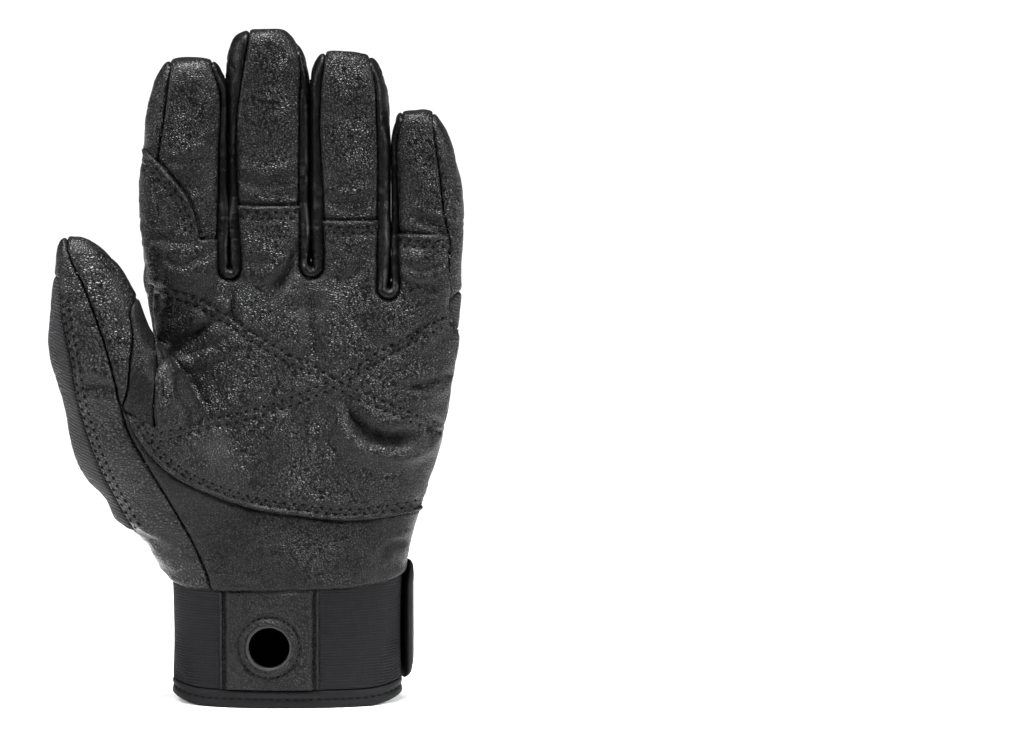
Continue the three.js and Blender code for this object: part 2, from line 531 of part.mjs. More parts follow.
const handPieces = () => {
  const shell = handVolume(0).subtract(handVolume(-LEATHER));
  const pieces = {};
  let rest = shell;
  const cut = (name, part) => {
    pieces[name] = largestBody(rest.intersect(part.takes));
    rest = rest.subtract(part.clears);
  };

  cut('sidewall_index', region(sidewallOutline(byName.index, 'left')));
  FINGERS.slice(0, -1).forEach((finger, i) => {
    cut(`fourchette_${finger.name}_${FINGERS[i + 1].name}`, region(fourchetteOutline(i)));
  });
  cut('sidewall_little', region(sidewallOutline(byName.little, 'right')));

  for (const finger of FINGERS) {
    const bay = (low) => box(
      finger.axis - finger.width / 2, finger.axis + finger.width / 2,
      low, PALM_LENGTH + PAST * finger.length,
    );
    const backEdge = FINGER_SEAM * finger.depth - CURL / 2;
    cut(`finger_${finger.name}_front`, region(bay(fingerCut), -FAR, backEdge));
    cut(`finger_${finger.name}_back`, region(bay(PALM_LENGTH + FINGER_JOINT * finger.length), backEdge + SEAM_GAP, FAR));
  }

  const split = THUMB_SPLIT.map(({ forward, up }) => [-forward * THUMB_DEPTH, up * THUMB_RISE]);
  const behind = sideRegion([...split, [FAR, lastPoint(split)[1]], [FAR, split[0][1]]]);
  const backEdge = THUMB_BACK_EDGE.map(thumbPoint);
  const thumbSide = region([...backEdge, [-FAR, lastPoint(backEdge)[1]], [-FAR, backEdge[0][1]]]);
  const border = region(FABRIC_BORDER.map(thumbPoint));
  cut('thumb_back', sumOf(border, overlapOf(behind, thumbSide)));

  const mainSeam = MAIN_SEAM.map(thumbPoint);
  cut('thumb_outer_panel', region(
    [...mainSeam, [-FAR, lastPoint(mainSeam)[1]], [-FAR, mainSeam[0][1]]],
    -FAR, sideSeam,
  ));
  const innerSeam = INNER_SEAM.map(thumbPoint);
  const innerTop = [innerSeam[0][0], mainSeam[0][1]];
  const innerOutline = [...mainSeam.slice(0, SEAMS_MEET), ...innerSeam.reverse(), innerTop];
  cut('thumb_inner_panel', region(innerOutline, -FAR, sideSeam));
  const crease = PALM_CREASE.map(thumbPoint);
  cut('thumb_gusset', region([...crease, ...innerSeam.slice(0, -1)], -FAR, sideSeam));
  cut('palm_panel', region(box(-FAR, FAR, -FAR, fingerCut), -FAR, sideSeam));
  pieces.back_panel = largestBody(rest);
  return pieces;
};

// Second layer of leather on the palm, laid over the panels with a clearance.
const palmPatch = () => {
  const layer = handVolume(SEAM_GAP + PATCH).subtract(handVolume(SEAM_GAP));
  const lower = PATCH_LOWER_EDGE.map(palmPoint);
  const crease = PALM_CREASE.map(thumbPoint).reverse();
  const index = PATCH_INDEX_EDGE.map(({ across: share, up }) => [
    byName.index.axis + share * byName.index.width,
    PALM_LENGTH + up * byName.index.length,
  ]);
  const steps = Object.entries(PATCH_EDGES).flatMap(([name, up]) => {
    const finger = byName[name];
    const z = PALM_LENGTH + up * finger.length;
    const reach = (finger.width + FINGER_GAP) / 2;
    return [[finger.axis - reach + STEP_LEAN, z], [finger.axis + reach - STEP_LEAN, z]];
  });
  const last = lastPoint(steps);
  steps[steps.length - 1] = [PAST * knuckleRight, last[1]];
  const outline = [...lower, ...crease.slice(1, -1), ...PATCH_SIDE.map(palmPoint), ...index, ...steps];
  let patch = layer.intersect(prism(outline, -FAR, sideSeam - LEATHER));
  for (let i = 0; i + 1 < FINGERS.length; i += 1) patch = patch.subtract(prism(outset(fourchetteOutline(i), SEAM_GAP)));
  return largestBody(patch);
};

const cuffLoft = (grow, low, high) => loft([wristSection(grow, low), wristSection(grow, high)], CUFF_SIDES);

const holeOutline = (radius) => Array.from({ length: ROUND_HOLE_SIDES }, (_, i) => {
  const angle = 2 * Math.PI * i / ROUND_HOLE_SIDES;
  return [-TAB_SHIFT + radius * Math.cos(angle), HOLE_HEIGHT + radius * Math.sin(angle)];
});
const roundRim = HOLE_RADIUS + RIM + SEAM_GAP;

const cuffBand = () => {
  const low = BINDING_HEIGHT + SEAM_GAP;
  const high = CUFF_HEIGHT + CUFF_TUCK;
  const tube = cuffLoft(0, low, high).subtract(cuffLoft(-ELASTIC, low - OVERCUT, high + OVERCUT));
  return tube.subtract(prism(holeOutline(roundRim), -FAR, 0));
};

const cuffTab = () => {
  const low = BINDING_HEIGHT + SEAM_GAP;
  const high = CUFF_HEIGHT - SEAM_GAP;
  const sheet = cuffLoft(SEAM_GAP + TAB, low, high).subtract(cuffLoft(SEAM_GAP, low - OVERCUT, high + OVERCUT));
  const outline = box(-TAB_SHIFT - TAB_WIDTH / 2, -TAB_SHIFT + TAB_WIDTH / 2, low - OVERCUT, high + OVERCUT);
  return sheet.intersect(prism(outline, -FAR, 0)).subtract(prism(holeOutline(roundRim), -FAR, 0));
};

// Rim that lines the hole through the tab and the elastic, with a flat outer face.
const rimFront = -WRIST_DEPTH / 2 - SEAM_GAP - TAB - RIM_PROUD;
const rimBack = -WRIST_DEPTH / 2 + ELASTIC + RIM_PROUD;
const eyeletRing = () => prism(holeOutline(HOLE_RADIUS + RIM), rimFront, rimBack)
  .subtract(prism(holeOutline(HOLE_RADIUS), rimFront - OVERCUT, rimBack + OVERCUT));

// Binding folded round the lower edge of the elastic.
const hemBinding = () => {
  const round = BINDING_ROUND * BINDING_HEIGHT;
  const outer = loft([
    wristSection(BINDING - round / 2, 0), wristSection(BINDING, round),
    wristSection(BINDING, BINDING_HEIGHT - round), wristSection(BINDING - round / 2, BINDING_HEIGHT),
  ], CUFF_SIDES);
  return outer.subtract(cuffLoft(-ELASTIC - BINDING, -OVERCUT, BINDING_HEIGHT + OVERCUT));
};

// Strap from the outer side of the wrist round its back, over the cuff and the edge of the leather.
const wristStrap = () => {
  const low = STRAP_RAISE;
  const high = STRAP_RAISE + STRAP_HEIGHT;
  const flare = STRAP_FLARE * PALM_DEPTH;
  const level = (grow, from, to) => loft([
    wristSection(grow, from), wristSection(grow, CUFF_HEIGHT), wristSection(grow + flare, to),
  ], CUFF_SIDES);
  const inner = SEAM_GAP + LEATHER + STRAP_STAND_OFF;
  const sheet = level(inner + STRAP, low, high).subtract(level(inner, low - OVERCUT, high + OVERCUT));
  const corner = (cx, cz, start) => Array.from({ length: CORNER_STEPS + 1 }, (_, i) => {
    const angle = start + i * Math.PI / (2 * CORNER_STEPS);
    return [cx + STRAP_CORNER * Math.cos(angle), cz + STRAP_CORNER * Math.sin(angle)];
  });
  const frontEdge = -STRAP_FRONT * WRIST_DEPTH;
  const side = [
    ...corner(frontEdge + STRAP_CORNER, high - STRAP_CORNER, Math.PI / 2),
    ...corner(frontEdge + STRAP_CORNER, low + STRAP_CORNER, Math.PI),
    [FAR, low], [FAR, high],
  ];
  const left = WRIST_WIDTH / 2 - STRAP_REACH;
  const face = [
    ...corner(left + STRAP_CORNER, high - STRAP_CORNER, Math.PI / 2),
    ...corner(left + STRAP_CORNER, low + STRAP_CORNER, Math.PI),
    [FAR, low], [FAR, high],
  ];
  return largestBody(sheet.intersect(sidePrism(side)).intersect(prism(face, frontEdge - OVERCUT, FAR)));
};

const FINISHES = {
  leather: { color: 0x2b2b2e, roughness: 0.55, metalness: 0 },
  stretch_fabric: { color: 0x1b1b20, roughness: 0.9, metalness: 0 },
  elastic: { color: 0x24242a, roughness: 0.9, metalness: 0 },
  binding: { color: 0x202023, roughness: 0.8, metalness: 0 },
  rim: { color: 0x3c3c40, roughness: 0.5, metalness: 0 },
  hook_and_loop: { color: 0x151518, roughness: 0.75, metalness: 0 },
};
const FABRIC_PIECES = ['thumb_back', 'back_panel'];

const mesh = (name, solid, finish) => {
  const made = new THREE.Mesh(toGeometry(solid), new THREE.MeshStandardMaterial(FINISHES[finish]));
  made.name = name;
  return made;
};

const glove = new THREE.Group();

const hand = new THREE.Group();
hand.position.z = CUFF_HEIGHT;
for (const [name, solid] of Object.entries(handPieces())) {
  hand.add(mesh(name, solid, FABRIC_PIECES.includes(name) ? 'stretch_fabric' : 'leather'));
}
hand.add(mesh('palm_patch', palmPatch(), 'leather'));
glove.add(hand);

glove.add(mesh('cuff_band', cuffBand(), 'elastic'));
glove.add(mesh('cuff_tab', cuffTab(), 'leather'));
glove.add(mesh('eyelet_ring', eyeletRing(), 'rim'));
glove.add(mesh('hem_binding', hemBinding(), 'binding'));
glove.add(mesh('wrist_strap', wristStrap(), 'hook_and_loop'));

export default glove;
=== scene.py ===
# %% [markdown]
# # A climbing glove, filled out as it is worn
#
# The glove is for the left hand: fingers up, palm towards the viewer, thumb at the left. Its panels are
# thin leather and stretch fabric, sewn together inside out and then turned, so every seam is a groove
# with a rounded shoulder on both sides. A glove is hard to lay out panel by panel in three dimensions.
# Here the filled hand is made first, as one smooth skin, and the skin is then cut into the panels,
# as a pattern maker would draw them on a hand.

import json
import math
from itertools import product

import bpy
import numpy as np
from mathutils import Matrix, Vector
from mathutils.bvhtree import BVHTree
from mathutils.kdtree import KDTree

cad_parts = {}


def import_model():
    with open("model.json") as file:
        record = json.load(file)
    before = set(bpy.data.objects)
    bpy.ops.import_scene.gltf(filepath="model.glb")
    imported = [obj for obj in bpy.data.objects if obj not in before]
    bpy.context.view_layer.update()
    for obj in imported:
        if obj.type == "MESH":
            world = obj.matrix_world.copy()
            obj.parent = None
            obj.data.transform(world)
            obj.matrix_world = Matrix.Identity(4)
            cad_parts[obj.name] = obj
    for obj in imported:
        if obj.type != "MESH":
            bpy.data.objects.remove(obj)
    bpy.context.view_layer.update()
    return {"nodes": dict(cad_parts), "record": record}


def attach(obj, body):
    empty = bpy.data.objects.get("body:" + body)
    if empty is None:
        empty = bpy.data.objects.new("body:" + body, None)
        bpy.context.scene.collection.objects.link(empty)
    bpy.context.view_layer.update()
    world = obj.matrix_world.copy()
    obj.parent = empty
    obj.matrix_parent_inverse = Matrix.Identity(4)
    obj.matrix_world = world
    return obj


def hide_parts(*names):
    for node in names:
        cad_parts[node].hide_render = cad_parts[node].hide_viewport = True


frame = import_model()
print("solids in the frame:", len(frame["nodes"]))

# %% [markdown]
# ## Sizes
#
# All lengths are metres, and the frame's origin is the middle of the wrist opening. +Z runs up the
# fingers and -Y is the palm side. MM turns the tables' millimetres into metres.

# %% Driving sizes
MM = 0.001
PITCH = 0.735 * MM   # edge of the net that the skin is made of

LEATHER = 1.2 * MM
PATCH = 1.3 * MM
ELASTIC = 1.6 * MM
TAB = 1.4 * MM
STRAP = 3.4 * MM
CLEARANCE = 0.3 * MM

WRIST_WIDTH = 82 * MM
WRIST_DEPTH = 44 * MM
CUFF_HEIGHT = 43 * MM
PALM_LENGTH = 109.7 * MM
PALM_DEPTH = 38 * MM
KNUCKLE_SHIFT = 5.6 * MM
FINGER_GAP = 1.1 * MM
RIDGE = 3.6 * MM
CURL = 5 * MM
THUMB_SPAN = 85.4 * MM
THUMB_RISE = 126.7 * MM
THUMB_DEPTH = 30 * MM
CROTCH_LINE = CUFF_HEIGHT + PALM_LENGTH

# The fingers from the thumb's side: width, depth, length, and how far the crotch on the outer side
# lies below the crotch line.
FINGERS = {
    "index": {"width": 33.3 * MM, "depth": 27 * MM, "length": 81.8 * MM, "dip": -0.052 * PALM_LENGTH},
    "middle": {"width": 28.3 * MM, "depth": 27 * MM, "length": 92.7 * MM, "dip": -0.058 * PALM_LENGTH},
    "ring": {"width": 27.9 * MM, "depth": 26.5 * MM, "length": 84.3 * MM, "dip": 0.012 * PALM_LENGTH},
    "little": {"width": 26.8 * MM, "depth": 24.5 * MM, "length": 63.7 * MM, "dip": 0},
}
NAMES = list(FINGERS)
knuckle_width = sum(f["width"] for f in FINGERS.values()) + 3 * FINGER_GAP
knuckle_left = knuckle_width / 2 - KNUCKLE_SHIFT
knuckle_right = knuckle_width / 2 + KNUCKLE_SHIFT
edge = -knuckle_left
for finger in FINGERS.values():
    finger["axis"] = edge + finger["width"] / 2
    edge += finger["width"] + FINGER_GAP
print("finger axes, mm:", [round(f["axis"] / MM, 1) for f in FINGERS.values()])

# %% [markdown]
# ## Sections of the hand
#
# A hand is well described by level sections: at each height, how far it reaches to the left, to the
# right, to the front and to the back. Each table has named columns, and the values are shares of the
# sizes above, so the hand keeps its form if a size changes.

# %% Section tables
# up: share of the finger's length above the crotch line; left, right: shares of its width.
FINGER_SIDES = {
    "index": {
        "up": (-0.155, 0, 0.177, 0.354, 0.531, 0.708, 0.854, 0.92, 0.962, 0.99, 1),
        "left": (0.174, 0.348, 0.417, 0.45, 0.438, 0.393, 0.336, 0.288, 0.222, 0.163, 0.12),
        "right": (0.42, 0.5, 0.5, 0.5, 0.494, 0.489, 0.483, 0.461, 0.42, 0.371, 0.337),
    },
    "middle": {
        "up": (-0.137, 0, 0.312, 0.527, 0.703, 0.82, 0.887, 0.938, 0.977, 1),
        "left": (0.44, 0.49, 0.493, 0.51, 0.525, 0.555, 0.535, 0.485, 0.405, 0.28),
        "right": (0.44, 0.5, 0.5, 0.487, 0.49, 0.49, 0.452, 0.359, 0.266, 0.2),
    },
    "ring": {
        "up": (-0.15, 0, 0.343, 0.579, 0.751, 0.863, 0.923, 0.966, 0.99, 1),
        "left": (0.44, 0.49, 0.5, 0.505, 0.51, 0.52, 0.5, 0.441, 0.375, 0.317),
        "right": (0.44, 0.49, 0.486, 0.505, 0.51, 0.461, 0.389, 0.306, 0.212, 0.137),
    },
    "little": {
        "up": (-0.2, -0.06, 0.114, 0.341, 0.54, 0.71, 0.824, 0.909, 0.96, 0.989, 1),
        "left": (0.42, 0.486, 0.5, 0.5, 0.5, 0.5, 0.5, 0.479, 0.45, 0.4, 0.345),
        "right": (0.31, 0.388, 0.425, 0.47, 0.426, 0.345, 0.277, 0.196, 0.115, 0.054, 0),
    },
}
# Depth of any finger on the same scale, as shares of its depth before and behind its axis.
FINGER_DEPTHS = {
    "up": (-0.15, 0, 0.3, 0.55, 0.75, 0.86, 0.92, 0.965, 0.99, 1),
    "front": (0.42, 0.56, 0.54, 0.52, 0.5, 0.47, 0.43, 0.37, 0.3, 0.24),
    "back": (0.4, 0.52, 0.5, 0.48, 0.46, 0.43, 0.38, 0.3, 0.2, 0.12),
}
# up: share of PALM_LENGTH; left, right: from 0 at the wrist's half width to 1 at the knuckles'.
HAND_SECTIONS = {
    "up": (0, 0.045, 0.091, 0.175, 0.286, 0.416, 0.545, 0.675, 0.773, 0.838, 0.935, 1, 1.071),
    "left": (0.08, 0.16, 0.34, 0.55, 0.6, 0.6, 0.57, 0.47, 0.41, 0.45, 0.62, 0.66, 0.58),
    "right": (0, -0.02, 0.03, 0.13, 0.3, 0.5, 0.645, 0.765, 0.84, 0.87, 0.9, 0.9, 0.84),
    "front": (0.618, 0.618, 0.592, 0.553, 0.526, 0.513, 0.503, 0.492, 0.48, 0.465, 0.425, 0.38, 0.29),
    "back": (0.618, 0.618, 0.605, 0.579, 0.553, 0.526, 0.515, 0.5, 0.487, 0.474, 0.434, 0.395, 0.29),
}
# up: share of THUMB_RISE; left, right: shares of THUMB_SPAN; front, back: shares of THUMB_DEPTH.
THUMB_SECTIONS = {
    "up": (0.046, 0.149, 0.174, 0.251, 0.326, 0.411, 0.497, 0.583, 0.669, 0.754, 0.84, 0.903, 0.952,
           0.984, 1.002, 1.013),
    "left": (0.5, 0.645, 0.71, 0.775, 0.86, 0.903, 0.928, 0.962, 0.994, 0.992, 0.987, 0.975, 0.965,
             0.955, 0.94, 0.92),
    "right": (0.216, 0.14, 0.13, 0.13, 0.17, 0.25, 0.33, 0.41, 0.487, 0.57, 0.62, 0.673, 0.733,
              0.776, 0.82, 0.85),
    "front": (0.533, 0.68, 0.73, 0.82, 0.92, 1.02, 1.09, 1.15, 1.167, 1.167, 1.15, 1.1, 1.033, 0.967,
              0.883, 0.8),
    "back": (0.2, 0.367, 0.4, 0.4, 0.4, 0.333, 0.233, 0.1, -0.033, -0.167, -0.233, -0.283, -0.35,
             -0.433, -0.533, -0.617),
}
WRIST_POWER, HAND_POWER, FINGER_POWER, THUMB_POWER = 2.3, 2.6, 2.7, 2.3   # 2 is an ellipse, more is squarer

# %% [markdown]
# ## Distance to a rounded solid
#
# Lofting the sections and joining the lofts with booleans leaves hard creases where a finger meets the
# hand. Instead, each part of the hand is written as a distance: below zero inside, above zero outside.
# Distances can be joined with a soft minimum, which fills the corner between two parts the way leather
# spans it.

# %% Distances
# How far the corner between two parts is filled, or a corner rounded.
FINGER_TIP, PALM_TOP, THUMB_FOOT, THUMB_TIP = 2 * MM, 3 * MM, 6 * MM, 1.5 * MM
THUMB_FILLET, FINGER_FILLET, CROTCH_ROUND = 7 * MM, 3 * MM, 0.8 * MM


def column(table, name, heights):
    """A table's column at any height, on a smooth curve through its rows."""
    up = np.array(table["up"], float)
    values = np.array(table[name], float)
    slopes = np.gradient(values, up)
    row = np.clip(np.searchsorted(up, heights) - 1, 0, len(up) - 2)
    step = up[row + 1] - up[row]
    t = np.clip((heights - up[row]) / step, 0, 1)
    start = (1 + 2 * t) * (1 - t) ** 2 * values[row] + t * (1 - t) ** 2 * step * slopes[row]
    end = t * t * (3 - 2 * t) * values[row + 1] + t * t * (t - 1) * step * slopes[row + 1]
    return start + end


def soft_min(a, b, reach):
    """The lesser of two distances, with the corner between them filled over reach."""
    share = np.clip(0.5 + 0.5 * (b - a) / reach, 0, 1)
    return b + share * (a - b) - reach * share * (1 - share)


def soft_max(a, b, reach):
    return -soft_min(-a, -b, reach)


def section_distance(x, y, bounds, power):
    """Distance to a rounded section, by the ratio of a point's radius to the section's radius there."""
    x0, x1, y0, y1 = bounds
    across, deep = x - (x0 + x1) / 2, y - (y0 + y1) / 2
    ratio = np.abs(2 * across / (x1 - x0)) ** power + np.abs(2 * deep / (y1 - y0)) ** power
    ratio = np.maximum(ratio, 1e-6) ** (1 / power)
    radius = np.sqrt(across * across + deep * deep)
    return np.where(ratio > 0.05, radius * (1 - 1 / ratio), -x1 + x0)


def finger_distance(name, x, y, z):
    finger, sides = FINGERS[name], FINGER_SIDES[name]
    up = (z - CROTCH_LINE) / finger["length"]
    curl = -CURL * np.maximum(0, up) ** 2
    bounds = (
        finger["axis"] - column(sides, "left", up) * finger["width"],
        finger["axis"] + column(sides, "right", up) * finger["width"],
        curl - column(FINGER_DEPTHS, "front", up) * finger["depth"],
        curl + column(FINGER_DEPTHS, "back", up) * finger["depth"],
    )
    side = section_distance(x, y, bounds, FINGER_POWER)
    tip = (up - 1) * finger["length"]
    foot = (sides["up"][0] - up) * finger["length"]
    return soft_max(np.maximum(side, foot), tip, FINGER_TIP)


def palm_distance(x, y, z):
    up = (z - CUFF_HEIGHT) / PALM_LENGTH
    half_wrist = WRIST_WIDTH / 2 + CLEARANCE + LEATHER
    bounds = (
        -half_wrist - column(HAND_SECTIONS, "left", up) * (knuckle_left - half_wrist),
        half_wrist + column(HAND_SECTIONS, "right", up) * (knuckle_right - half_wrist),
        -column(HAND_SECTIONS, "front", up) * PALM_DEPTH,
        column(HAND_SECTIONS, "back", up) * PALM_DEPTH,
    )
    power = WRIST_POWER + (HAND_POWER - WRIST_POWER) * np.clip(up / 0.1, 0, 1)
    side = section_distance(x, y, bounds, power)
    return soft_max(side, (up - HAND_SECTIONS["up"][-1]) * PALM_LENGTH, PALM_TOP)


def thumb_distance(x, y, z):
    up = (z - CUFF_HEIGHT) / THUMB_RISE
    bounds = (
        -column(THUMB_SECTIONS, "left", up) * THUMB_SPAN,
        -column(THUMB_SECTIONS, "right", up) * THUMB_SPAN,
        -column(THUMB_SECTIONS, "front", up) * THUMB_DEPTH,
        column(THUMB_SECTIONS, "back", up) * THUMB_DEPTH,
    )
    side = section_distance(x, y, bounds, THUMB_POWER)
    foot = (THUMB_SECTIONS["up"][0] - up) * THUMB_RISE
    top = (up - THUMB_SECTIONS["up"][-1]) * THUMB_RISE
    return soft_max(soft_max(side, foot, THUMB_FOOT), top, THUMB_TIP)


HOLLOW, HOLLOW_RISE, HOLLOW_REACH = 1.5 * MM, 5 * MM, 11 * MM


def hollow(rise, y):
    """How much wider the air between two fingers is at the palm side, a drop just above the crotch."""
    drop = np.exp(-((rise - HOLLOW_RISE) / HOLLOW_REACH) ** 2)
    return HOLLOW * drop * np.clip((-y - 2 * MM) / (6 * MM), 0, 1)


def crotch_distance(i, x, y, z):
    """Distance to the air between two fingers, down to a round crotch."""
    finger, after = FINGERS[NAMES[i]], FINGERS[NAMES[i + 1]]
    middle = finger["axis"] + (finger["width"] + FINGER_GAP) / 2
    low = CROTCH_LINE - finger["dip"]
    high = CROTCH_LINE + 0.5 * after["length"]
    half = FINGER_GAP / 2 + hollow(z - low, y)
    return np.hypot(x - middle, np.minimum(z - low - half, 0) + np.maximum(z - high, 0)) - half


def hand_distance(x, y, z):
    hand = soft_min(palm_distance(x, y, z), thumb_distance(x, y, z), THUMB_FILLET)
    fingers = [finger_distance(name, x, y, z) for name in NAMES]
    solid = soft_min(hand, np.minimum.reduce(fingers), FINGER_FILLET)
    for i in range(3):
        solid = soft_max(solid, -crotch_distance(i, x, y, z), CROTCH_ROUND)
    return solid


# %% [markdown]
# ## From distance to skin
#
# A net is spun where the distance is zero: one vertex in each small cube that the surface crosses, at
# the mean of its crossings, and one square for each grid edge that it crosses. The squares are all
# about the same size, which suits a surface that is going to be creased and cut. A few rounds of
# averaging take out the grid's steps.

# %% Surface net
def surface_net(low, high, pitch):
    axes = [np.arange(a, b, pitch) for a, b in zip(low, high)]
    x, y, z = np.meshgrid(*axes, indexing="ij", sparse=True)
    field = hand_distance(x, y, z).astype(np.float32)
    inside = field < 0
    shape = np.array(field.shape) - 1
    count = np.zeros(shape, np.int8)
    for corner in product((0, 1), repeat=3):
        count += inside[tuple(slice(c, c + n) for c, n in zip(corner, shape))]
    cells = np.argwhere((count > 0) & (count < 8))
    ids = np.full(shape, -1, np.int32)
    ids[tuple(cells.T)] = np.arange(len(cells))

    total = np.zeros((len(cells), 3))
    crossings = np.zeros(len(cells))
    for axis in range(3):
        for offset in product((0, 1), repeat=2):
            start = np.insert(np.array(offset), axis, 0)
            end = np.insert(np.array(offset), axis, 1)
            a = field[tuple((cells + start).T)]
            b = field[tuple((cells + end).T)]
            crossed = (a < 0) != (b < 0)
            t = np.where(crossed, a / np.where(crossed, a - b, 1), 0)
            total += crossed[:, None] * (start + t[:, None] * (end - start))
            crossings += crossed
    points = np.array(low) + (cells + total / crossings[:, None]) * pitch

    squares = []
    for axis in range(3):
        one, two = (axis + 1) % 3, (axis + 2) % 3
        a = inside[tuple(slice(None, -1) if k == axis else slice(1, -1) for k in range(3))]
        b = inside[tuple(slice(1, None) if k == axis else slice(1, -1) for k in range(3))]
        for first, second, flip in ((a, b, False), (b, a, True)):
            at = np.argwhere(first & ~second)
            at[:, one] += 1
            at[:, two] += 1
            ring = []
            for step_one, step_two in ((-1, -1), (0, -1), (0, 0), (-1, 0)):
                cell = at.copy()
                cell[:, one] += step_one
                cell[:, two] += step_two
                ring.append(ids[tuple(cell.T)])
            ring = np.stack(ring, 1)
            squares.append(ring[:, ::-1] if flip else ring)
    squares = np.concatenate(squares)
    faces = np.concatenate([squares[:, [0, 1, 2]], squares[:, [0, 2, 3]]])
    return points, faces


def edges_of(faces):
    pairs = np.sort(np.concatenate([faces[:, [0, 1]], faces[:, [1, 2]], faces[:, [2, 0]]]), axis=1)
    return np.unique(pairs, axis=0)


def averaged(values, faces, rounds, share=0.5):
    """Each vertex's values moved towards the mean of its neighbours'."""
    a, b = edges_of(faces).T
    count = np.bincount(a, minlength=len(values)) + np.bincount(b, minlength=len(values))
    values = values.reshape(len(values), -1)
    for _ in range(rounds):
        mean = np.stack([
            np.bincount(a, values[b, k], len(values)) + np.bincount(b, values[a, k], len(values))
            for k in range(values.shape[1])
        ], 1) / np.maximum(count, 1)[:, None]
        values = values + share * (mean - values)
    return values


def vertex_normals(points, faces):
    a, b, c = points[faces[:, 0]], points[faces[:, 1]], points[faces[:, 2]]
    face_normals = np.cross(b - a, c - a)
    normals = np.stack([
        sum(np.bincount(faces[:, corner], face_normals[:, k], len(points)) for corner in range(3))
        for k in range(3)
    ], 1)
    return normals / np.maximum(np.linalg.norm(normals, axis=1), 1e-12)[:, None]


# %% Net of the hand
AROUND = 4 * MM                          # room round the hand in the grid
low_corner = (-THUMB_SPAN - AROUND, -1.35 * THUMB_DEPTH, CUFF_HEIGHT - AROUND)
high_corner = (knuckle_right + AROUND, 0.75 * PALM_DEPTH, CROTCH_LINE + FINGERS["middle"]["length"] + AROUND)
skin, skin_faces = surface_net(low_corner, high_corner, PITCH)
skin = averaged(skin, skin_faces, rounds=4)
print("skin:", len(skin), "vertices,", len(skin_faces), "triangles")

# %% [markdown]
# ## Folds and creases
#
# Leather that is worn keeps folds where the hand bends: across the finger joints, from the crotches
# down into the palm, and from the thumb's root. A fold is a line with a depth and a width: the skin
# sinks along it and swells a little on both sides. Fine creases come from noise that is stretched
# along the direction in which the leather folds.

# %% Lines and noise
def curve(points, step=1.5 * MM):
    """A smooth line through the points, with a point at each step."""
    points = np.array(points, float)
    away = np.linalg.norm(np.diff(points, axis=0), axis=1)
    along = np.concatenate([[0], np.cumsum(away)])
    fine = np.linspace(0, along[-1], max(2, int(along[-1] / step) + 1))
    if len(points) < 3:
        return np.stack([np.interp(fine, along, points[:, k]) for k in range(points.shape[1])], 1)
    tables = [{"up": along, "value": points[:, k]} for k in range(points.shape[1])]
    return np.stack([column(table, "value", fine) for table in tables], 1)


def mm(*pairs):
    """A list of x and z in millimetres as points in metres."""
    return [(x * MM, z * MM) for x, z in pairs]


def line_distance(x, z, line):
    """Distance to a line in the view from the palm side, and how far along it the nearest place is."""
    best = np.full(x.shape, np.inf)
    place = np.zeros(x.shape)
    total = np.linalg.norm(np.diff(line, axis=0), axis=1).sum()
    along = 0
    for (x0, z0), (x1, z1) in zip(line[:-1], line[1:]):
        dx, dz = x1 - x0, z1 - z0
        length = math.hypot(dx, dz)
        t = np.clip(((x - x0) * dx + (z - z0) * dz) / length ** 2, 0, 1)
        away = np.hypot(x - x0 - t * dx, z - z0 - t * dz)
        place = np.where(away < best, (along + t * length) / total, place)
        best = np.minimum(best, away)
        along += length
    return best, place


def from_lines(points, lines):
    """Distance to the nearest of several lines, in the same view."""
    return np.minimum.reduce([line_distance(points[:, 0], points[:, 2], line)[0] for line in lines])


def noise(points, size, seed=0):
    """Smooth noise from -1 to 1. size is the length of a swell, or three lengths along x, y and z."""
    q = points / np.array(size) + 31.7 * seed
    cell = np.floor(q).astype(np.int64)
    t = q - cell
    t = t * t * (3 - 2 * t)
    total = np.zeros(len(points))
    for corner in product((0, 1), repeat=3):
        k = cell + np.array(corner)
        mixed = (k[:, 0] * 73856093) ^ (k[:, 1] * 19349663) ^ (k[:, 2] * 83492791)
        mixed = (mixed ^ (mixed >> 13)) * 1274126177
        value = ((mixed ^ (mixed >> 16)) & 0xFFFF) / 0x7FFF - 1
        total += value * np.prod(np.where(corner, t, 1 - t), axis=1)
    return total


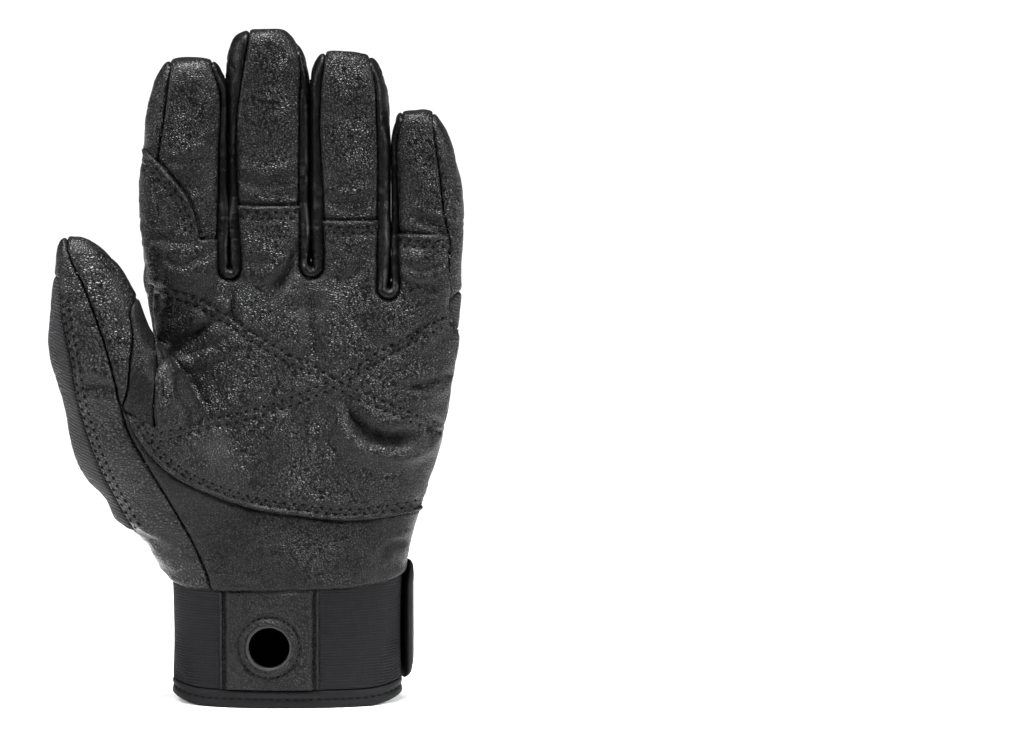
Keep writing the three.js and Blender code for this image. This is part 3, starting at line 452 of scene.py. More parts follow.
# %% Folds
# Columns: the fold's line (x and z in mm from the wrist opening), its depth and its half width in mm.
# A negative depth is a ridge.
FOLDS = [
    (mm((-16.7, 154.2), (-18.8, 147.3), (-19.9, 136.5)), 1.2, 3),
    (mm((4.3, 165.4), (0.7, 157.5), (-5.1, 149.5)), 1.5, 3),
    (mm((9, 152.4), (9.8, 140.1), (11.2, 123.4)), 1.5, 4.6),
    (mm((27.1, 164), (25.7, 158.2), (23.5, 154.6)), 0.9, 2.6),
    (mm((-46, 124.9), (-34.8, 134.7), (-25.3, 140.1)), 1.5, 2.8),
    (mm((-41.3, 123.8), (-32.6, 126), (-23.2, 130)), -0.9, 1.9),
    (mm((-43.7, 124.2), (-36.8, 118.6), (-31, 108.5), (-30.6, 96.7)), 0.75, 3.2),
    (mm((-40, 117), (-35, 109), (-34.5, 99)), 0.6, 2.2),
    (mm((-44.5, 121.3), (-43.8, 113.3)), 1.1, 1.9),
    (mm((19.9, 114), (23.9, 105.3), (31.1, 98.8), (40.5, 97.4), (50, 101)), 1.6, 3.4),
    (mm((18.1, 106.8), (27.5, 94.5), (40.5, 91.6), (52.1, 95.2)), -0.7, 3.4),
    (mm((34.4, 132.1), (41.3, 129.2), (49.2, 136.5)), 0.8, 2.6),
    (mm((38.7, 126.7), (50, 133.6), (58.6, 141.5)), -0.6, 2.2),
    (mm((42, 116.2), (50.3, 116.2), (57.9, 119.8)), 0.9, 2.2),
    (mm((1.8, 110.4), (3.6, 98.1), (4, 85.8)), 0.7, 3.6),
    (mm((14.8, 109.3), (15.9, 102.1), (15.2, 93.8)), 0.5, 3),
    (mm((-51.8, 170.1), (-41.3, 169.1), (-30.4, 168.3)), 0.35, 1.7),
    (mm((-45.3, 163.5), (-36.2, 160.5), (-27.7, 166.1)), 0.45, 1.7),
    (mm((-45.6, 201.6), (-45.2, 183.5), (-45.6, 161.1), (-46.7, 131)), 0.5, 2.4),
    (mm((-42.7, 198), (-36.6, 198.4), (-30.4, 199.8)), 0.5, 1.7),
    (mm((-14.5, 190.7), (-5.1, 189.6), (5.8, 192.5)), 0.9, 2.4),
    (mm((-8.7, 185.7), (-2.2, 185.7), (5.4, 187.2)), 0.5, 1.6),
    (mm((14.8, 184.2), (23.2, 181.8), (32.9, 184.3)), 0.85, 2.4),
    (mm((45.6, 178.1), (52.1, 175.6), (58.3, 173)), 0.7, 2),
    (mm((42.7, 161.1), (50, 159.6), (57.6, 161.1)), 0.6, 1.7),
    (mm((42.7, 154.2), (48.5, 153.1), (54.3, 153.8)), 0.4, 1.5),
    (mm((-13, 161.1), (-8.7, 162.5), (-3.6, 161.8)), 0.5, 1.8),
    (mm((-74.6, 119.8), (-65.5, 119.1), (-59.4, 116.9)), 0.6, 2.4),
    (mm((-55.7, 64.4), (-50.3, 60.5), (-44.5, 57.9)), 0.9, 2.2),
    (mm((32.6, 54.7), (39.5, 58.6), (45.2, 59.4)), 0.6, 1.8),
]
FOLD_STRENGTH, FOLD_WIDTH = 1.6, 0.9     # factors on the table's depths and half widths
FOLD_WOBBLE, WOBBLE_SIZE = 0.9 * MM, 6 * MM
FOLD_END = 0.35                          # share of the depth that is left at a fold's ends
SHOULDER_SHARE, SHOULDER_PLACE = 0.45, 1.9   # the swell beside a fold: its height and where it lies


def fold_depth(points, normals):
    """How far the skin is sunk by the folds. They lie on the palm side only."""
    x = points[:, 0] + FOLD_WOBBLE * noise(points, WOBBLE_SIZE, 21)
    z = points[:, 2] + FOLD_WOBBLE * noise(points, WOBBLE_SIZE, 22)
    sunk = np.zeros(len(points))
    for line, depth, width in FOLDS:
        away, along = line_distance(x, z, curve(line))
        s = away / (FOLD_WIDTH * width * MM)
        ends = np.clip(4 * along, 0, 1) * np.clip(4 * (1 - along), 0, 1)
        profile = np.exp(-s * s) - SHOULDER_SHARE * np.exp(-(s - SHOULDER_PLACE) ** 2)
        sunk += depth * MM * (FOLD_END + (1 - FOLD_END) * ends) * profile
    palm_side = np.clip(-1.6 * normals[:, 1] - 0.1, 0, 1)
    return FOLD_STRENGTH * sunk * palm_side


# Height of each kind of relief, and the size of one swell of it.
BROAD, BROAD_SIZE = 0.8 * MM, 13 * MM
SMALL, SMALL_SIZE = 0.26 * MM, 6 * MM
VALLEY, VALLEY_SIZE, VALLEY_WIDTH = 0.32 * MM, (9 * MM, 9 * MM, 2.6 * MM), 0.16
FINE, FINE_SIZE = 0.07 * MM, (3 * MM, 3 * MM, 1.9 * MM)
PATCHES = 14 * MM                        # size of the patches that have valleys


def creases(points):
    """Fine creases: swells and thin valleys, mostly across the fingers."""
    swell = BROAD * noise(points, BROAD_SIZE, 1) + SMALL * noise(points, SMALL_SIZE, 2)
    bent = points + 2 * MM * np.stack([noise(points, 8 * MM, seed) for seed in (3, 4, 5)], 1)
    thin = np.exp(-(noise(bent, VALLEY_SIZE, 6) / VALLEY_WIDTH) ** 2)
    valley = thin * np.clip(0.3 + noise(points, PATCHES, 8), 0, 1)
    return swell - VALLEY * valley + FINE * noise(bent, FINE_SIZE, 7)


skin_normals = vertex_normals(skin, skin_faces)
skin = skin + skin_normals * (creases(skin) - fold_depth(skin, skin_normals))[:, None]
skin_normals = averaged(vertex_normals(skin, skin_faces), skin_faces, rounds=3)
skin_normals /= np.linalg.norm(skin_normals, axis=1)[:, None]
print("deepest fold, mm:", max(fold[1] for fold in FOLDS))

# %% [markdown]
# ## The pattern
#
# Every panel is an outline drawn over the hand as seen from the palm. The outlines are lines of the
# real glove's seams. Some panels also end at a depth, where the palm side meets the back.

# %% Seams
# up: share of the finger's length above the crotch line; across: share of its width from its axis.
FINGER_SEAMS = {
    "index": {
        "left": ((1.2, -0.11), (0.955, -0.125), (0.74, -0.185), (0.566, -0.253), (0.3, -0.32),
                 (-0.1, -0.34)),
        "right": ((1.2, 0.34), (0.985, 0.345), (0.885, 0.42), (0.6, 0.42), (0.35, 0.41), (0.2, 0.39)),
    },
    "middle": {
        "left": ((1.2, -0.26), (0.953, -0.273), (0.832, -0.34), (0.668, -0.42), (0.45, -0.43), (0.28, -0.39),
                 (0.12, -0.35)),
        "right": ((1.2, 0.3), (0.985, 0.3), (0.9, 0.39), (0.7, 0.395), (0.3, 0.38), (0.12, 0.37)),
    },
    "ring": {
        "left": ((1.2, -0.32), (0.974, -0.338), (0.885, -0.378), (0.75, -0.405), (0.4, -0.365),
                 (0.15, -0.33)),
        "right": ((1.2, 0.24), (0.97, 0.257), (0.914, 0.311), (0.73, 0.351), (0.3, 0.355), (0.15, 0.33)),
    },
    "little": {
        "left": ((1.2, -0.37), (0.983, -0.373), (0.85, -0.435), (0.41, -0.43), (0.05, -0.39)),
        "right": ((1.2, 0.05), (0.96, 0.063), (0.79, 0.092), (0.625, 0.148), (0.449, 0.19), (0.267, 0.26),
                  (0.125, 0.303), (-0.1, 0.335)),
    },
}
# Seams of the thumb. out: share of THUMB_SPAN; up: share of THUMB_RISE; forward: share of THUMB_DEPTH.
MAIN_SEAM = (
    (0.9, 1.1), (0.915, 0.986), (0.847, 0.889), (0.78, 0.774), (0.725, 0.649), (0.691, 0.543),
    (0.657, 0.466), (0.589, 0.377), (0.47, 0.234), (0.352, 0.074), (0.292, -0.05),
)
INNER_SEAM = ((0.55, 0.9), (0.64, 0.81), (0.631, 0.737), (0.644, 0.671), (0.661, 0.577), (0.684, 0.531))
PALM_CREASE = (
    (0.55, 0.9), (0.56, 0.79), (0.54, 0.7), (0.532, 0.651), (0.54, 0.58), (0.545, 0.52), (0.534, 0.455),
)
FABRIC_BORDER = (
    (1.2, 0.903), (0.955, 0.903), (0.932, 0.774), (0.903, 0.674), (0.873, 0.543), (0.805, 0.389),
    (0.729, 0.269), (0.64, 0.16),
)
THUMB_BACK_EDGE = ((0.54, 0.903), (0.54, 0.72), (0.568, 0.537), (0.61, 0.309), (0.64, 0.16))
THUMB_SPLIT = ((0.56, 0.903), (0.53, 0.754), (0.34, 0.583), (0.17, 0.411), (0.03, 0.251), (-0.05, 0.16))
# Edges of the palm patch. out: share of the knuckles' half width on that side; up: of PALM_LENGTH.
PATCH_LOWER_EDGE = (
    (1.2, 0.256), (0.754, 0.253), (0.497, 0.234), (0.29, 0.231), (0.078, 0.247), (-0.209, 0.269),
    (-0.54, 0.334), (-0.723, 0.383), (-0.9, 0.465), (-0.985, 0.53), (-1.045, 0.6),
)
PATCH_SIDE = ((-0.951, 0.916), (-1.019, 1), (-1.15, 1.12))
PATCH_INDEX_EDGE = (
    (0.63, -0.8), (0.619, -0.455), (0.562, -0.264), (0.482, -0.084), (0.411, 0.05), (0.332, 0.14),
    (0.208, 0.208), (0.208, 0.55),
)
# Height of the patch's upper edge on the other fingers, as a share of their length.
PATCH_EDGES = {"middle": 0.315, "ring": 0.284, "little": 0.296}

# Lower end of the little finger's side strip, and the triangle of fabric below it: x and z in mm.
LITTLE_FOOT = mm((58.7, 168), (58.9, 158), (59.4, 152), (58.8, 146.6), (62.6, 149.6), (80, 150.6))
GORE = mm((58.6, 146), (62.6, 149.3), (80, 150.4), (80, 131), (61.6, 135.6))
FAR = 0.4                                # beyond the glove on any side
SIDE_SEAM = 0.08 * PALM_DEPTH            # depth where the palm side meets the back
FINGER_CUT = CUFF_HEIGHT + 1.085 * PALM_LENGTH   # height where the finger panels end under the patch


def finger_points(name, table):
    finger = FINGERS[name]
    return [(finger["axis"] + across * finger["width"], CROTCH_LINE + up * finger["length"])
            for up, across in table]


def thumb_points(table):
    return [(-out * THUMB_SPAN, CUFF_HEIGHT + up * THUMB_RISE) for out, up in table]


def palm_points(table):
    return [(out * (knuckle_left if out < 0 else knuckle_right), CUFF_HEIGHT + up * PALM_LENGTH)
            for out, up in table]


# %% Outlines
def fourchette_outline(i):
    """The U of the strip between two fingers, with a round lower end."""
    down = list(curve(finger_points(NAMES[i], FINGER_SEAMS[NAMES[i]]["right"])))
    up = list(curve(finger_points(NAMES[i + 1], FINGER_SEAMS[NAMES[i + 1]]["left"])))[::-1]
    bottom = CROTCH_LINE - FINGERS[NAMES[i]]["dip"] - RIDGE
    up = [point for point in up if point[1] > bottom + 6 * MM]
    middle, half = (down[-1][0] + up[0][0]) / 2, (up[0][0] - down[-1][0]) / 2
    turn = [math.pi * (1 + k / 16) for k in range(1, 16)]
    round_end = [(middle + half * math.cos(a), bottom + half * (1 + math.sin(a))) for a in turn]
    return down + round_end + up


def sidewall_outline(name, side):
    seam = [p for p in curve(finger_points(name, FINGER_SEAMS[name][side])) if p[1] > FINGER_CUT]
    finger = FINGERS[name]
    out = finger["axis"] + (-0.75 if side == "left" else 0.75) * finger["width"]
    foot = LITTLE_FOOT if name == "little" else [(seam[-1][0], FINGER_CUT), (out, FINGER_CUT)]
    return [(out, seam[0][1])] + seam + foot


def outline_distance(x, z, outline):
    """Distance to a closed outline in the view from the palm side, below zero inside."""
    best = np.full(x.shape, np.inf)
    inside = np.zeros(x.shape, bool)
    for (x0, z0), (x1, z1) in zip(outline, [*outline[1:], outline[0]]):
        dx, dz = x1 - x0, z1 - z0
        t = np.clip(((x - x0) * dx + (z - z0) * dz) / (dx * dx + dz * dz + 1e-18), 0, 1)
        best = np.minimum(best, (x - x0 - t * dx) ** 2 + (z - z0 - t * dz) ** 2)
        if dz:
            inside ^= ((z0 > z) != (z1 > z)) & (x < (z - z0) * dx / dz + x0)
    return np.where(inside, -1, 1) * np.sqrt(best)


def over(outline):
    return lambda p: outline_distance(p[:, 0], p[:, 2], outline)


def before(depth):
    return lambda p: p[:, 1] - depth


def both(*parts):
    return lambda p: np.maximum.reduce([part(p) for part in parts])


def either(*parts):
    return lambda p: np.minimum.reduce([part(p) for part in parts])


def outside(part):
    return lambda p: -part(p)


def box(x0, x1, z0, z1):
    return [(x0, z0), (x1, z0), (x1, z1), (x0, z1)]


# %% [markdown]
# The pattern lists the panels in the order in which they are cut. Each gets what the ones before it left,
# so the palm and the back can be plain boxes: the seams of their neighbours have shaped them already.

# %% Pattern
JOINT = 0.36                             # share of a finger's length where its leather back begins
pattern = {"sidewall_index": over(sidewall_outline("index", "left"))}
for i in range(3):
    pattern[f"fourchette_{NAMES[i]}_{NAMES[i + 1]}"] = over(fourchette_outline(i))
pattern["sidewall_little"] = over(sidewall_outline("little", "right"))
for name, finger in FINGERS.items():
    left = finger["axis"] - finger["width"] / 2 - FINGER_GAP
    right = finger["axis"] + finger["width"] / 2 + FINGER_GAP
    top = CROTCH_LINE + 1.2 * finger["length"]
    joint = CROTCH_LINE + JOINT * finger["length"]
    back = 0.27 * finger["depth"] - 0.5 * CURL
    pattern[f"finger_{name}_front"] = both(over(box(left, right, FINGER_CUT, top)), before(back))
    pattern[f"finger_{name}_back"] = over(box(left, right, joint, top))

fabric_side = list(curve(thumb_points(FABRIC_BORDER[1:])))
fabric = [thumb_points(FABRIC_BORDER)[0], *fabric_side, (-1.2 * THUMB_SPAN, fabric_side[-1][1])]
back_edge = list(curve(thumb_points(THUMB_BACK_EDGE)))
thumb_side = [*back_edge, (-FAR, back_edge[-1][1]), (-FAR, back_edge[0][1])]
split = [(CUFF_HEIGHT + up * THUMB_RISE, -forward * THUMB_DEPTH) for forward, up in THUMB_SPLIT]
split = np.array(split)[::-1]


def behind_thumb(p):
    return np.interp(p[:, 2], split[:, 0], split[:, 1]) - p[:, 1]


pattern["thumb_back"] = either(over(fabric), both(over(thumb_side), behind_thumb))

# %% Pattern of the palm side
main_seam = list(curve(thumb_points(MAIN_SEAM)))
inner_seam = list(curve(thumb_points(INNER_SEAM)))
palm_crease = list(curve(thumb_points(PALM_CREASE)))
on_palm = before(SIDE_SEAM)
pattern["thumb_outer_panel"] = both(
    over([*main_seam, (-FAR, main_seam[-1][1]), (-FAR, main_seam[0][1])]), on_palm)
meeting = thumb_points(MAIN_SEAM)[5][1]   # the inner seam runs into the main seam at its sixth point
upper_main = [p for p in main_seam if p[1] > meeting]
pattern["thumb_inner_panel"] = both(
    over([*upper_main, *inner_seam[::-1], (inner_seam[0][0], main_seam[0][1])]), on_palm)
pattern["thumb_gusset"] = both(over([*palm_crease, *inner_seam[::-1]]), on_palm)
pattern["palm_panel"] = both(over(box(-FAR, FAR, 0, FINGER_CUT)), on_palm, outside(over(GORE)))
pattern["back_panel"] = over(box(-FAR, FAR, 0, FAR))
print("panels:", len(pattern))

# %% [markdown]
# ## Cutting the skin
#
# The skin is cut where a panel's outline crosses its triangles, so the edge follows the line and not
# the net. The panels are cut one after another, each from what the ones before it left.

# %% Cutting
SNAP = 0.12 * PITCH                      # a cut closer than this to a vertex goes through it


def split_skin(points, faces, value):
    """Cuts the triangles where value is zero. Returns the points and the faces on both sides."""
    value = np.where(np.abs(value) < SNAP, 0.0, value)
    out_corners, in_corners = (value > 0)[faces].sum(1), (value < 0)[faces].sum(1)
    crossing = faces[(out_corners > 0) & (in_corners > 0)]
    by_vertex = (value[crossing] == 0).any(1)

    # Through a vertex: the triangle falls into two.
    split = crossing[by_vertex]
    rows, turn = np.arange(len(split)), np.argmax(value[split] == 0, axis=1)
    apex, b, c = (split[rows, (turn + k) % 3] for k in range(3))

    # Between the vertices: one corner is cut off, and the rest falls into two.
    split = crossing[~by_vertex]
    lone_out = (value[split] > 0).sum(1) == 1
    is_lone = np.where(lone_out[:, None], value[split] > 0, value[split] < 0)
    rows, turn = np.arange(len(split)), np.argmax(is_lone, axis=1)
    lone, p, q = (split[rows, (turn + k) % 3] for k in range(3))

    pairs = np.concatenate([np.stack([b, c], 1), np.stack([lone, p], 1), np.stack([lone, q], 1)])
    unique, back = np.unique(np.sort(pairs, axis=1), axis=0, return_inverse=True)
    va, vb = value[unique[:, 0]], value[unique[:, 1]]
    t = (va / (va - vb))[:, None]
    new = points[unique[:, 0]] * (1 - t) + points[unique[:, 1]] * t
    bc, lp, lq = np.split(back.reshape(-1) + len(points), [len(b), len(b) + len(lone)])

    first, second = np.stack([apex, b, bc], 1), np.stack([apex, bc, c], 1)
    tip, rest_one, rest_two = np.stack([lone, lp, lq], 1), np.stack([lp, p, q], 1), np.stack([lp, q, lq], 1)
    b_out = value[b] > 0
    inside = [faces[(out_corners == 0) & (in_corners > 0)], first[~b_out], second[b_out],
              tip[~lone_out], rest_one[lone_out], rest_two[lone_out]]
    outside_of_it = [faces[in_corners == 0], first[b_out], second[~b_out],
                     tip[lone_out], rest_one[~lone_out], rest_two[~lone_out]]
    return np.concatenate([points, new]), np.concatenate(inside), np.concatenate(outside_of_it)


def kept(points, faces):
    """Only the points that the faces use."""
    used, index = np.unique(faces, return_inverse=True)
    return points[used], index.reshape(-1, 3)


def largest_patch(faces, count):
    """The largest connected patch of the faces, and the others."""
    label = np.arange(count)
    while True:
        lowest = label[faces].min(1)
        after = label.copy()
        for k in range(3):
            np.minimum.at(after, faces[:, k], lowest)
        after = after[after]
        if (after == label).all():
            break
        label = after
    names, sizes = np.unique(label[faces[:, 0]], return_counts=True)
    largest = label[faces[:, 0]] == names[np.argmax(sizes)]
    return faces[largest], faces[~largest]


# %% [markdown]
# The hand's leather ends over the cuff in one long hem. After that cut, a panel keeps its largest patch,
# and small islands that its outline also caught go back to what is left for the next panels. Last, a
# narrow strip is cut off all round it: that is the dark line of the seam.

# %% Hem and panels
# Lower edge of the leather over the cuff, x and height in mm: it rises at both sides.
LEATHER_HEM = mm((-44, 47.5), (-41, 44.5), (-36, 42.8), (-20, 42.6), (5, 43), (22, 43.6), (36, 45),
                 (44, 47.5))
BACK_HEM = CUFF_HEIGHT + 1 * MM          # its height at the back
HEM_RUN_OUT = 14 * MM                    # depth behind the palm side over which one becomes the other
SEAM_GAP = 0.15 * MM                     # dark line left open at a seam
hem_line = np.array(LEATHER_HEM)


def above_hem(p):
    """Below zero over the leather's lower edge."""
    at_back = np.clip(p[:, 1] / HEM_RUN_OUT, 0, 1)
    line = np.interp(p[:, 0], hem_line[:, 0], hem_line[:, 1])
    return BACK_HEM + (line - BACK_HEM) * (1 - at_back) - p[:, 2]


data = np.concatenate([skin, skin_normals], 1)
data, rest, _ = split_skin(data, skin_faces, above_hem(data))
panels = {}
for name, region in pattern.items():
    data, inner, rest = split_skin(data, rest, region(data))
    inner, islands = largest_patch(inner, len(data))
    rest = np.concatenate([rest, islands])
    data, inner, _ = split_skin(data, inner, region(data) + SEAM_GAP)
    panels[name] = kept(data, largest_patch(inner, len(data))[0])
print({name: len(faces) for name, (_, faces) in panels.items()})

# %% [markdown]
# ## Leather, fabric and thread
#
# Black leather isn't flat black: it is a very dark grey with a soft gloss that breaks up on the pebbles
# of its grain. The pebbles are a cell pattern, pulled about by noise so that no two are alike. Their
# height goes into the bump, and their tops are a little glossier. Their height also sets their colour,
# as painted light: the tops a little lighter, as painted highlight, and the borders between them dark,
# as painted shade. Broad patches, where the leather was stretched more, have a flatter grain and another
# roughness.

# %% Material helpers
class Nodes:
    """Builds a material's nodes with short calls."""

    def __init__(self, name, **sockets):
        self.material = bpy.data.materials.new(name)
        self.material.use_nodes = True
        self.tree = self.material.node_tree
        self.shader = self.tree.nodes["Principled BSDF"]
        for socket, value in sockets.items():
            self.shader.inputs[socket.replace("_", " ")].default_value = value
        self.place = self.add("ShaderNodeTexCoord").outputs["Object"]

    def add(self, kind, settings=None, **inputs):
        node = self.tree.nodes.new(kind)
        for key, value in (settings or {}).items():
            setattr(node, key, value)
        for key, value in inputs.items():
            self.put(node.inputs[key.replace("_", " ")], value)
        return node

    def put(self, socket, value):
        if isinstance(value, bpy.types.NodeSocket):
            self.tree.links.new(value, socket)
        else:
            socket.default_value = value

    def math(self, operation, a, b=0.0):
        node = self.add("ShaderNodeMath", {"operation": operation})
        self.put(node.inputs[0], a)
        self.put(node.inputs[1], b)
        return node.outputs[0]

    def noise(self, scale, detail=2.0, place=None):
        node = self.add("ShaderNodeTexNoise", Scale=scale, Detail=detail, Vector=place or self.place)
        return node.outputs["Fac"]

    def cells(self, scale, place=None):
        node = self.add("ShaderNodeTexVoronoi", {"feature": "DISTANCE_TO_EDGE"}, Scale=scale,
                        Vector=place or self.place)
        return node.outputs["Distance"]

    def waves(self, along, scale, distortion, place=None):
        node = self.add("ShaderNodeTexWave", {"bands_direction": along}, Scale=scale, Distortion=distortion,
                        Vector=place or self.place)
        return node.outputs["Fac"]

    def shaken(self, scale, amount):
        """The place, moved about by noise."""
        moved = self.add("ShaderNodeTexNoise", Scale=scale, Detail=1.0, Vector=self.place).outputs["Color"]
        node = self.add("ShaderNodeVectorMath", {"operation": "MULTIPLY_ADD"})
        self.put(node.inputs[0], moved)
        node.inputs[1].default_value = (amount,) * 3
        self.put(node.inputs[2], self.place)
        return node.outputs["Vector"]

    def stretched(self, x, y, z, place=None, lean=0.0):
        node = self.add("ShaderNodeMapping", Vector=place or self.place)
        node.inputs["Rotation"].default_value = (0, math.radians(lean), 0)
        node.inputs["Scale"].default_value = (x, y, z)
        return node.outputs["Vector"]

    def ramp(self, value, low, high, a=0.0, b=1.0, smooth=False):
        kind = "SMOOTHSTEP" if smooth else "LINEAR"
        node = self.add("ShaderNodeMapRange", {"interpolation_type": kind}, Value=value)
        for socket, number in zip(("From Min", "From Max", "To Min", "To Max"), (low, high, a, b)):
            node.inputs[socket].default_value = number
        return node.outputs["Result"]

    def colour(self, share, dark, light):
        node = self.add("ShaderNodeMix", {"data_type": "RGBA"})
        self.put(node.inputs["Factor"], share)
        node.inputs["A"].default_value = (*dark, 1)
        node.inputs["B"].default_value = (*light, 1)
        self.put(self.shader.inputs["Base Color"], node.outputs["Result"])

    def relief(self, height, depth, normal=None):
        node = self.add("ShaderNodeBump", Height=height, Distance=depth)
        if normal:
            self.put(node.inputs["Normal"], normal)
        self.put(self.shader.inputs["Normal"], node.outputs["Normal"])
        return node.outputs["Normal"]


# %% [markdown]
# A grain printed as a picture would have to be fitted to each panel. A grain made from the place in
# space needs no fitting, runs on over the seams and can be scaled for each kind of leather.

# %% Leather and knit
# The first black is painted shade: the borders between the leather's pebbles and the gaps in the knit. The
# second is the leather's own dark grey, which the pebbles' tops get, lighter than their borders as painted
# highlight.
PAINTED_SHADE_BLACK = (0.001, 0.001, 0.0011)
COAL = (0.006, 0.006, 0.0062)


def leather(name, pebble, depth, light, rough, gloss):
    """pebble is the size of a pebble of the grain and depth its height, in metres."""
    made = Nodes(name, Roughness=rough)
    place = made.stretched(1, 1, 1.2, made.shaken(0.3 / pebble, 0.35 * pebble))
    pebbles = made.ramp(made.cells(1 / pebble, place=place), 0.0, 0.42, 0.0, 1.0, smooth=True)
    wrinkles = made.noise(0.25 / pebble, 2.0, place)
    patches = made.ramp(made.noise(55, 2.0), 0.38, 0.62)
    height = made.math("ADD", pebbles, wrinkles)
    strength = made.ramp(patches, 0, 1, 0.65, 1.25)
    made.relief(made.math("MULTIPLY", height, strength), depth)
    # Painted light: the colour follows the pebbles' height, with dark borders as painted shade and lighter
    # tops as painted highlight.
    made.colour(pebbles, PAINTED_SHADE_BLACK, light)
    made.put(made.shader.inputs["Specular IOR Level"], made.ramp(pebbles, 0, 1, 0.55 * gloss, 1.25 * gloss))
    made.put(made.shader.inputs["Roughness"], made.ramp(patches, 0, 1, rough + 0.05, rough - 0.05))
    return made.material


def knit(name, rib, dark, light):
    """Stretch knit: leaning ribs, each a row of small loops. Its colour follows its height: darker in the
    gaps between the loops, as painted shade.
    """
    made = Nodes(name, Roughness=0.8, Specular_IOR_Level=0.2)
    place = made.stretched(1, 1, 1, made.shaken(250, 0.2 * rib), lean=-22)
    ribs = made.waves("Z", 0.314 / rib, 0.3, place)
    loops = made.waves("X", 0.4 / rib, 0.5, place)
    height = made.math("MULTIPLY", ribs, made.ramp(loops, 0, 1, 0.45, 1.0))
    made.relief(height, 0.4 * rib)
    # Painted shade: the colour is darker where the knit is lower, in the gaps between the loops.
    made.colour(made.ramp(height, 0.1, 0.9), dark, light)
    return made.material


# %% Finishes
PALM_LEATHER = leather("palm leather", 1.05 * MM, 0.2 * MM, COAL, 0.36, 0.175)
PEBBLED_LEATHER = leather("pebbled leather", 1.35 * MM, 0.27 * MM, COAL, 0.38, 0.19)
# The strips between the fingers get their own copy of the leather: its flatter grain is real, and its darker
# colour is painted shade, the shade between the fingers.
ROLLED_LEATHER_WITH_PAINTED_SHADE = leather("rolled leather with painted shade", 0.95 * MM, 0.06 * MM, (0.002, 0.002, 0.0021), 0.4, 0.125)
HEEL_LEATHER = leather("heel leather", 0.95 * MM, 0.14 * MM, (0.005, 0.005, 0.0052), 0.44, 0.14)
STRETCH_FABRIC = knit("stretch fabric", 1.1 * MM, PAINTED_SHADE_BLACK, (0.014, 0.014, 0.016))
thread = Nodes("thread", Base_Color=(0.0008, 0.0008, 0.0008, 1), Roughness=0.9, Specular_IOR_Level=0.06)
thread.relief(thread.noise(4000), 0.05 * MM)
THREAD = thread.material
print("materials:", [material.name for material in bpy.data.materials])

# %% [markdown]
# The palm patch lies over the palm and over the roots of the fingers. Its outline is drawn here, because
# the leather under it is pressed down beside its turned edges.

# %% Outline of the palm patch
lower_edge = list(curve(palm_points(PATCH_LOWER_EDGE)))
slant = finger_points("index", PATCH_INDEX_EDGE)
slant = [*curve(slant[:-1]), slant[-1]]   # its last stretch is straight
steps = []
for name, up in PATCH_EDGES.items():
    finger = FINGERS[name]
    reach = (finger["width"] + FINGER_GAP) / 2
    height = CROTCH_LINE + up * finger["length"]
    steps += [(finger["axis"] - reach, height), (finger["axis"] + reach, height)]
steps[-1] = (1.2 * knuckle_right, steps[-1][1])
patch_outline = [*lower_edge, *palm_crease[::-1][2:-2], *palm_points(PATCH_SIDE), *slant, *steps]
turned_lines = [np.array(lower_edge), np.array(slant), *np.array(steps).reshape(-1, 2, 2)]
print("palm patch:", len(patch_outline), "points on its outline")

# %% [markdown]
# ## Turning the cuttings into panels
#
# A sewn and turned seam pulls the leather's edge down into the seam and leaves a round shoulder beside
# it. So the skin near a panel's edge dives, on a quarter circle, and the panel is then closed by an
# inner face and a rim. The strips between the fingers are rolled outwards below the crotches: they get
# a round ridge along their U.

# %% Sheets
def rim_edges(faces):
    """The directed edges that only one face has."""
    directed = np.concatenate([faces[:, [0, 1]], faces[:, [1, 2]], faces[:, [2, 0]]])
    key = directed[:, 0].astype(np.int64) << 32 | directed[:, 1]
    back = directed[:, 1].astype(np.int64) << 32 | directed[:, 0]
    return directed[~np.isin(key, back)]


def distance_to(points, targets):
    tree = KDTree(len(targets))
    for i, target in enumerate(targets):
        tree.insert(target, i)
    tree.balance()
    return np.array([tree.find(point)[2] for point in points])


def quarter_round(distance, width):
    """1 at distance 0, falling on a quarter circle to 0 at width."""
    t = np.clip(1 - distance / width, 0, 1)
    return 1 - np.sqrt(1 - t * t)


def bump_line(distance, width):
    return np.exp(-(distance / width) ** 2)


def add_mesh(name, points, faces, material):
    mesh = bpy.data.meshes.new(name)
    mesh.from_pydata(np.asarray(points).tolist(), [], [list(map(int, face)) for face in faces])
    mesh.shade_smooth()
    mesh.materials.append(material)
    made = bpy.data.objects.new(name, mesh)
    bpy.context.scene.collection.objects.link(made)
    return made


def closed_sheet(outer, inner, faces):
    """The points and faces of a sheet with an outer face, an inner face and a rim between them."""
    count = len(outer)
    rim = rim_edges(faces)
    a, b = rim[:, 0], rim[:, 1]
    rim_faces = np.concatenate([np.stack([b, a, a + count], 1), np.stack([b, a + count, b + count], 1)])
    return np.concatenate([outer, inner]), np.concatenate([faces, faces[:, ::-1] + count, rim_faces])


def fit(piece, slot, *nodes):
    """Ties a piece to the frame: what it rides on and what it stands for. slot, its finish, is not used."""
    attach(piece, "root")
    if nodes:
        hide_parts(*nodes)
    return piece


# %% [markdown]
# The strip between two fingers follows both fingers and turns below the crotch. There it is rolled into
# a round ridge, which covers the ends of the palm's leather. Above the crotch the fingers lie against
# each other, so their facing walls are pushed outwards until they all but touch.

# %% Between the fingers
SEAM_DEPTH = 1.1 * MM
SHOULDER = 1.6 * MM
PATCH_STANDS = CLEARANCE + PATCH         # height of the patch over the leather under it
TOUCHING = 0.04 * MM                     # air left between two fingers, on each side
FINISH = {"palm_leather": PALM_LEATHER, "pebbled_leather": PEBBLED_LEATHER, "heel_leather": HEEL_LEATHER,
          "stretch_fabric": STRETCH_FABRIC}


def slot_of(node):
    return next(row["material_slot"] for row in frame["record"]["subparts"] if row["node"] == node)


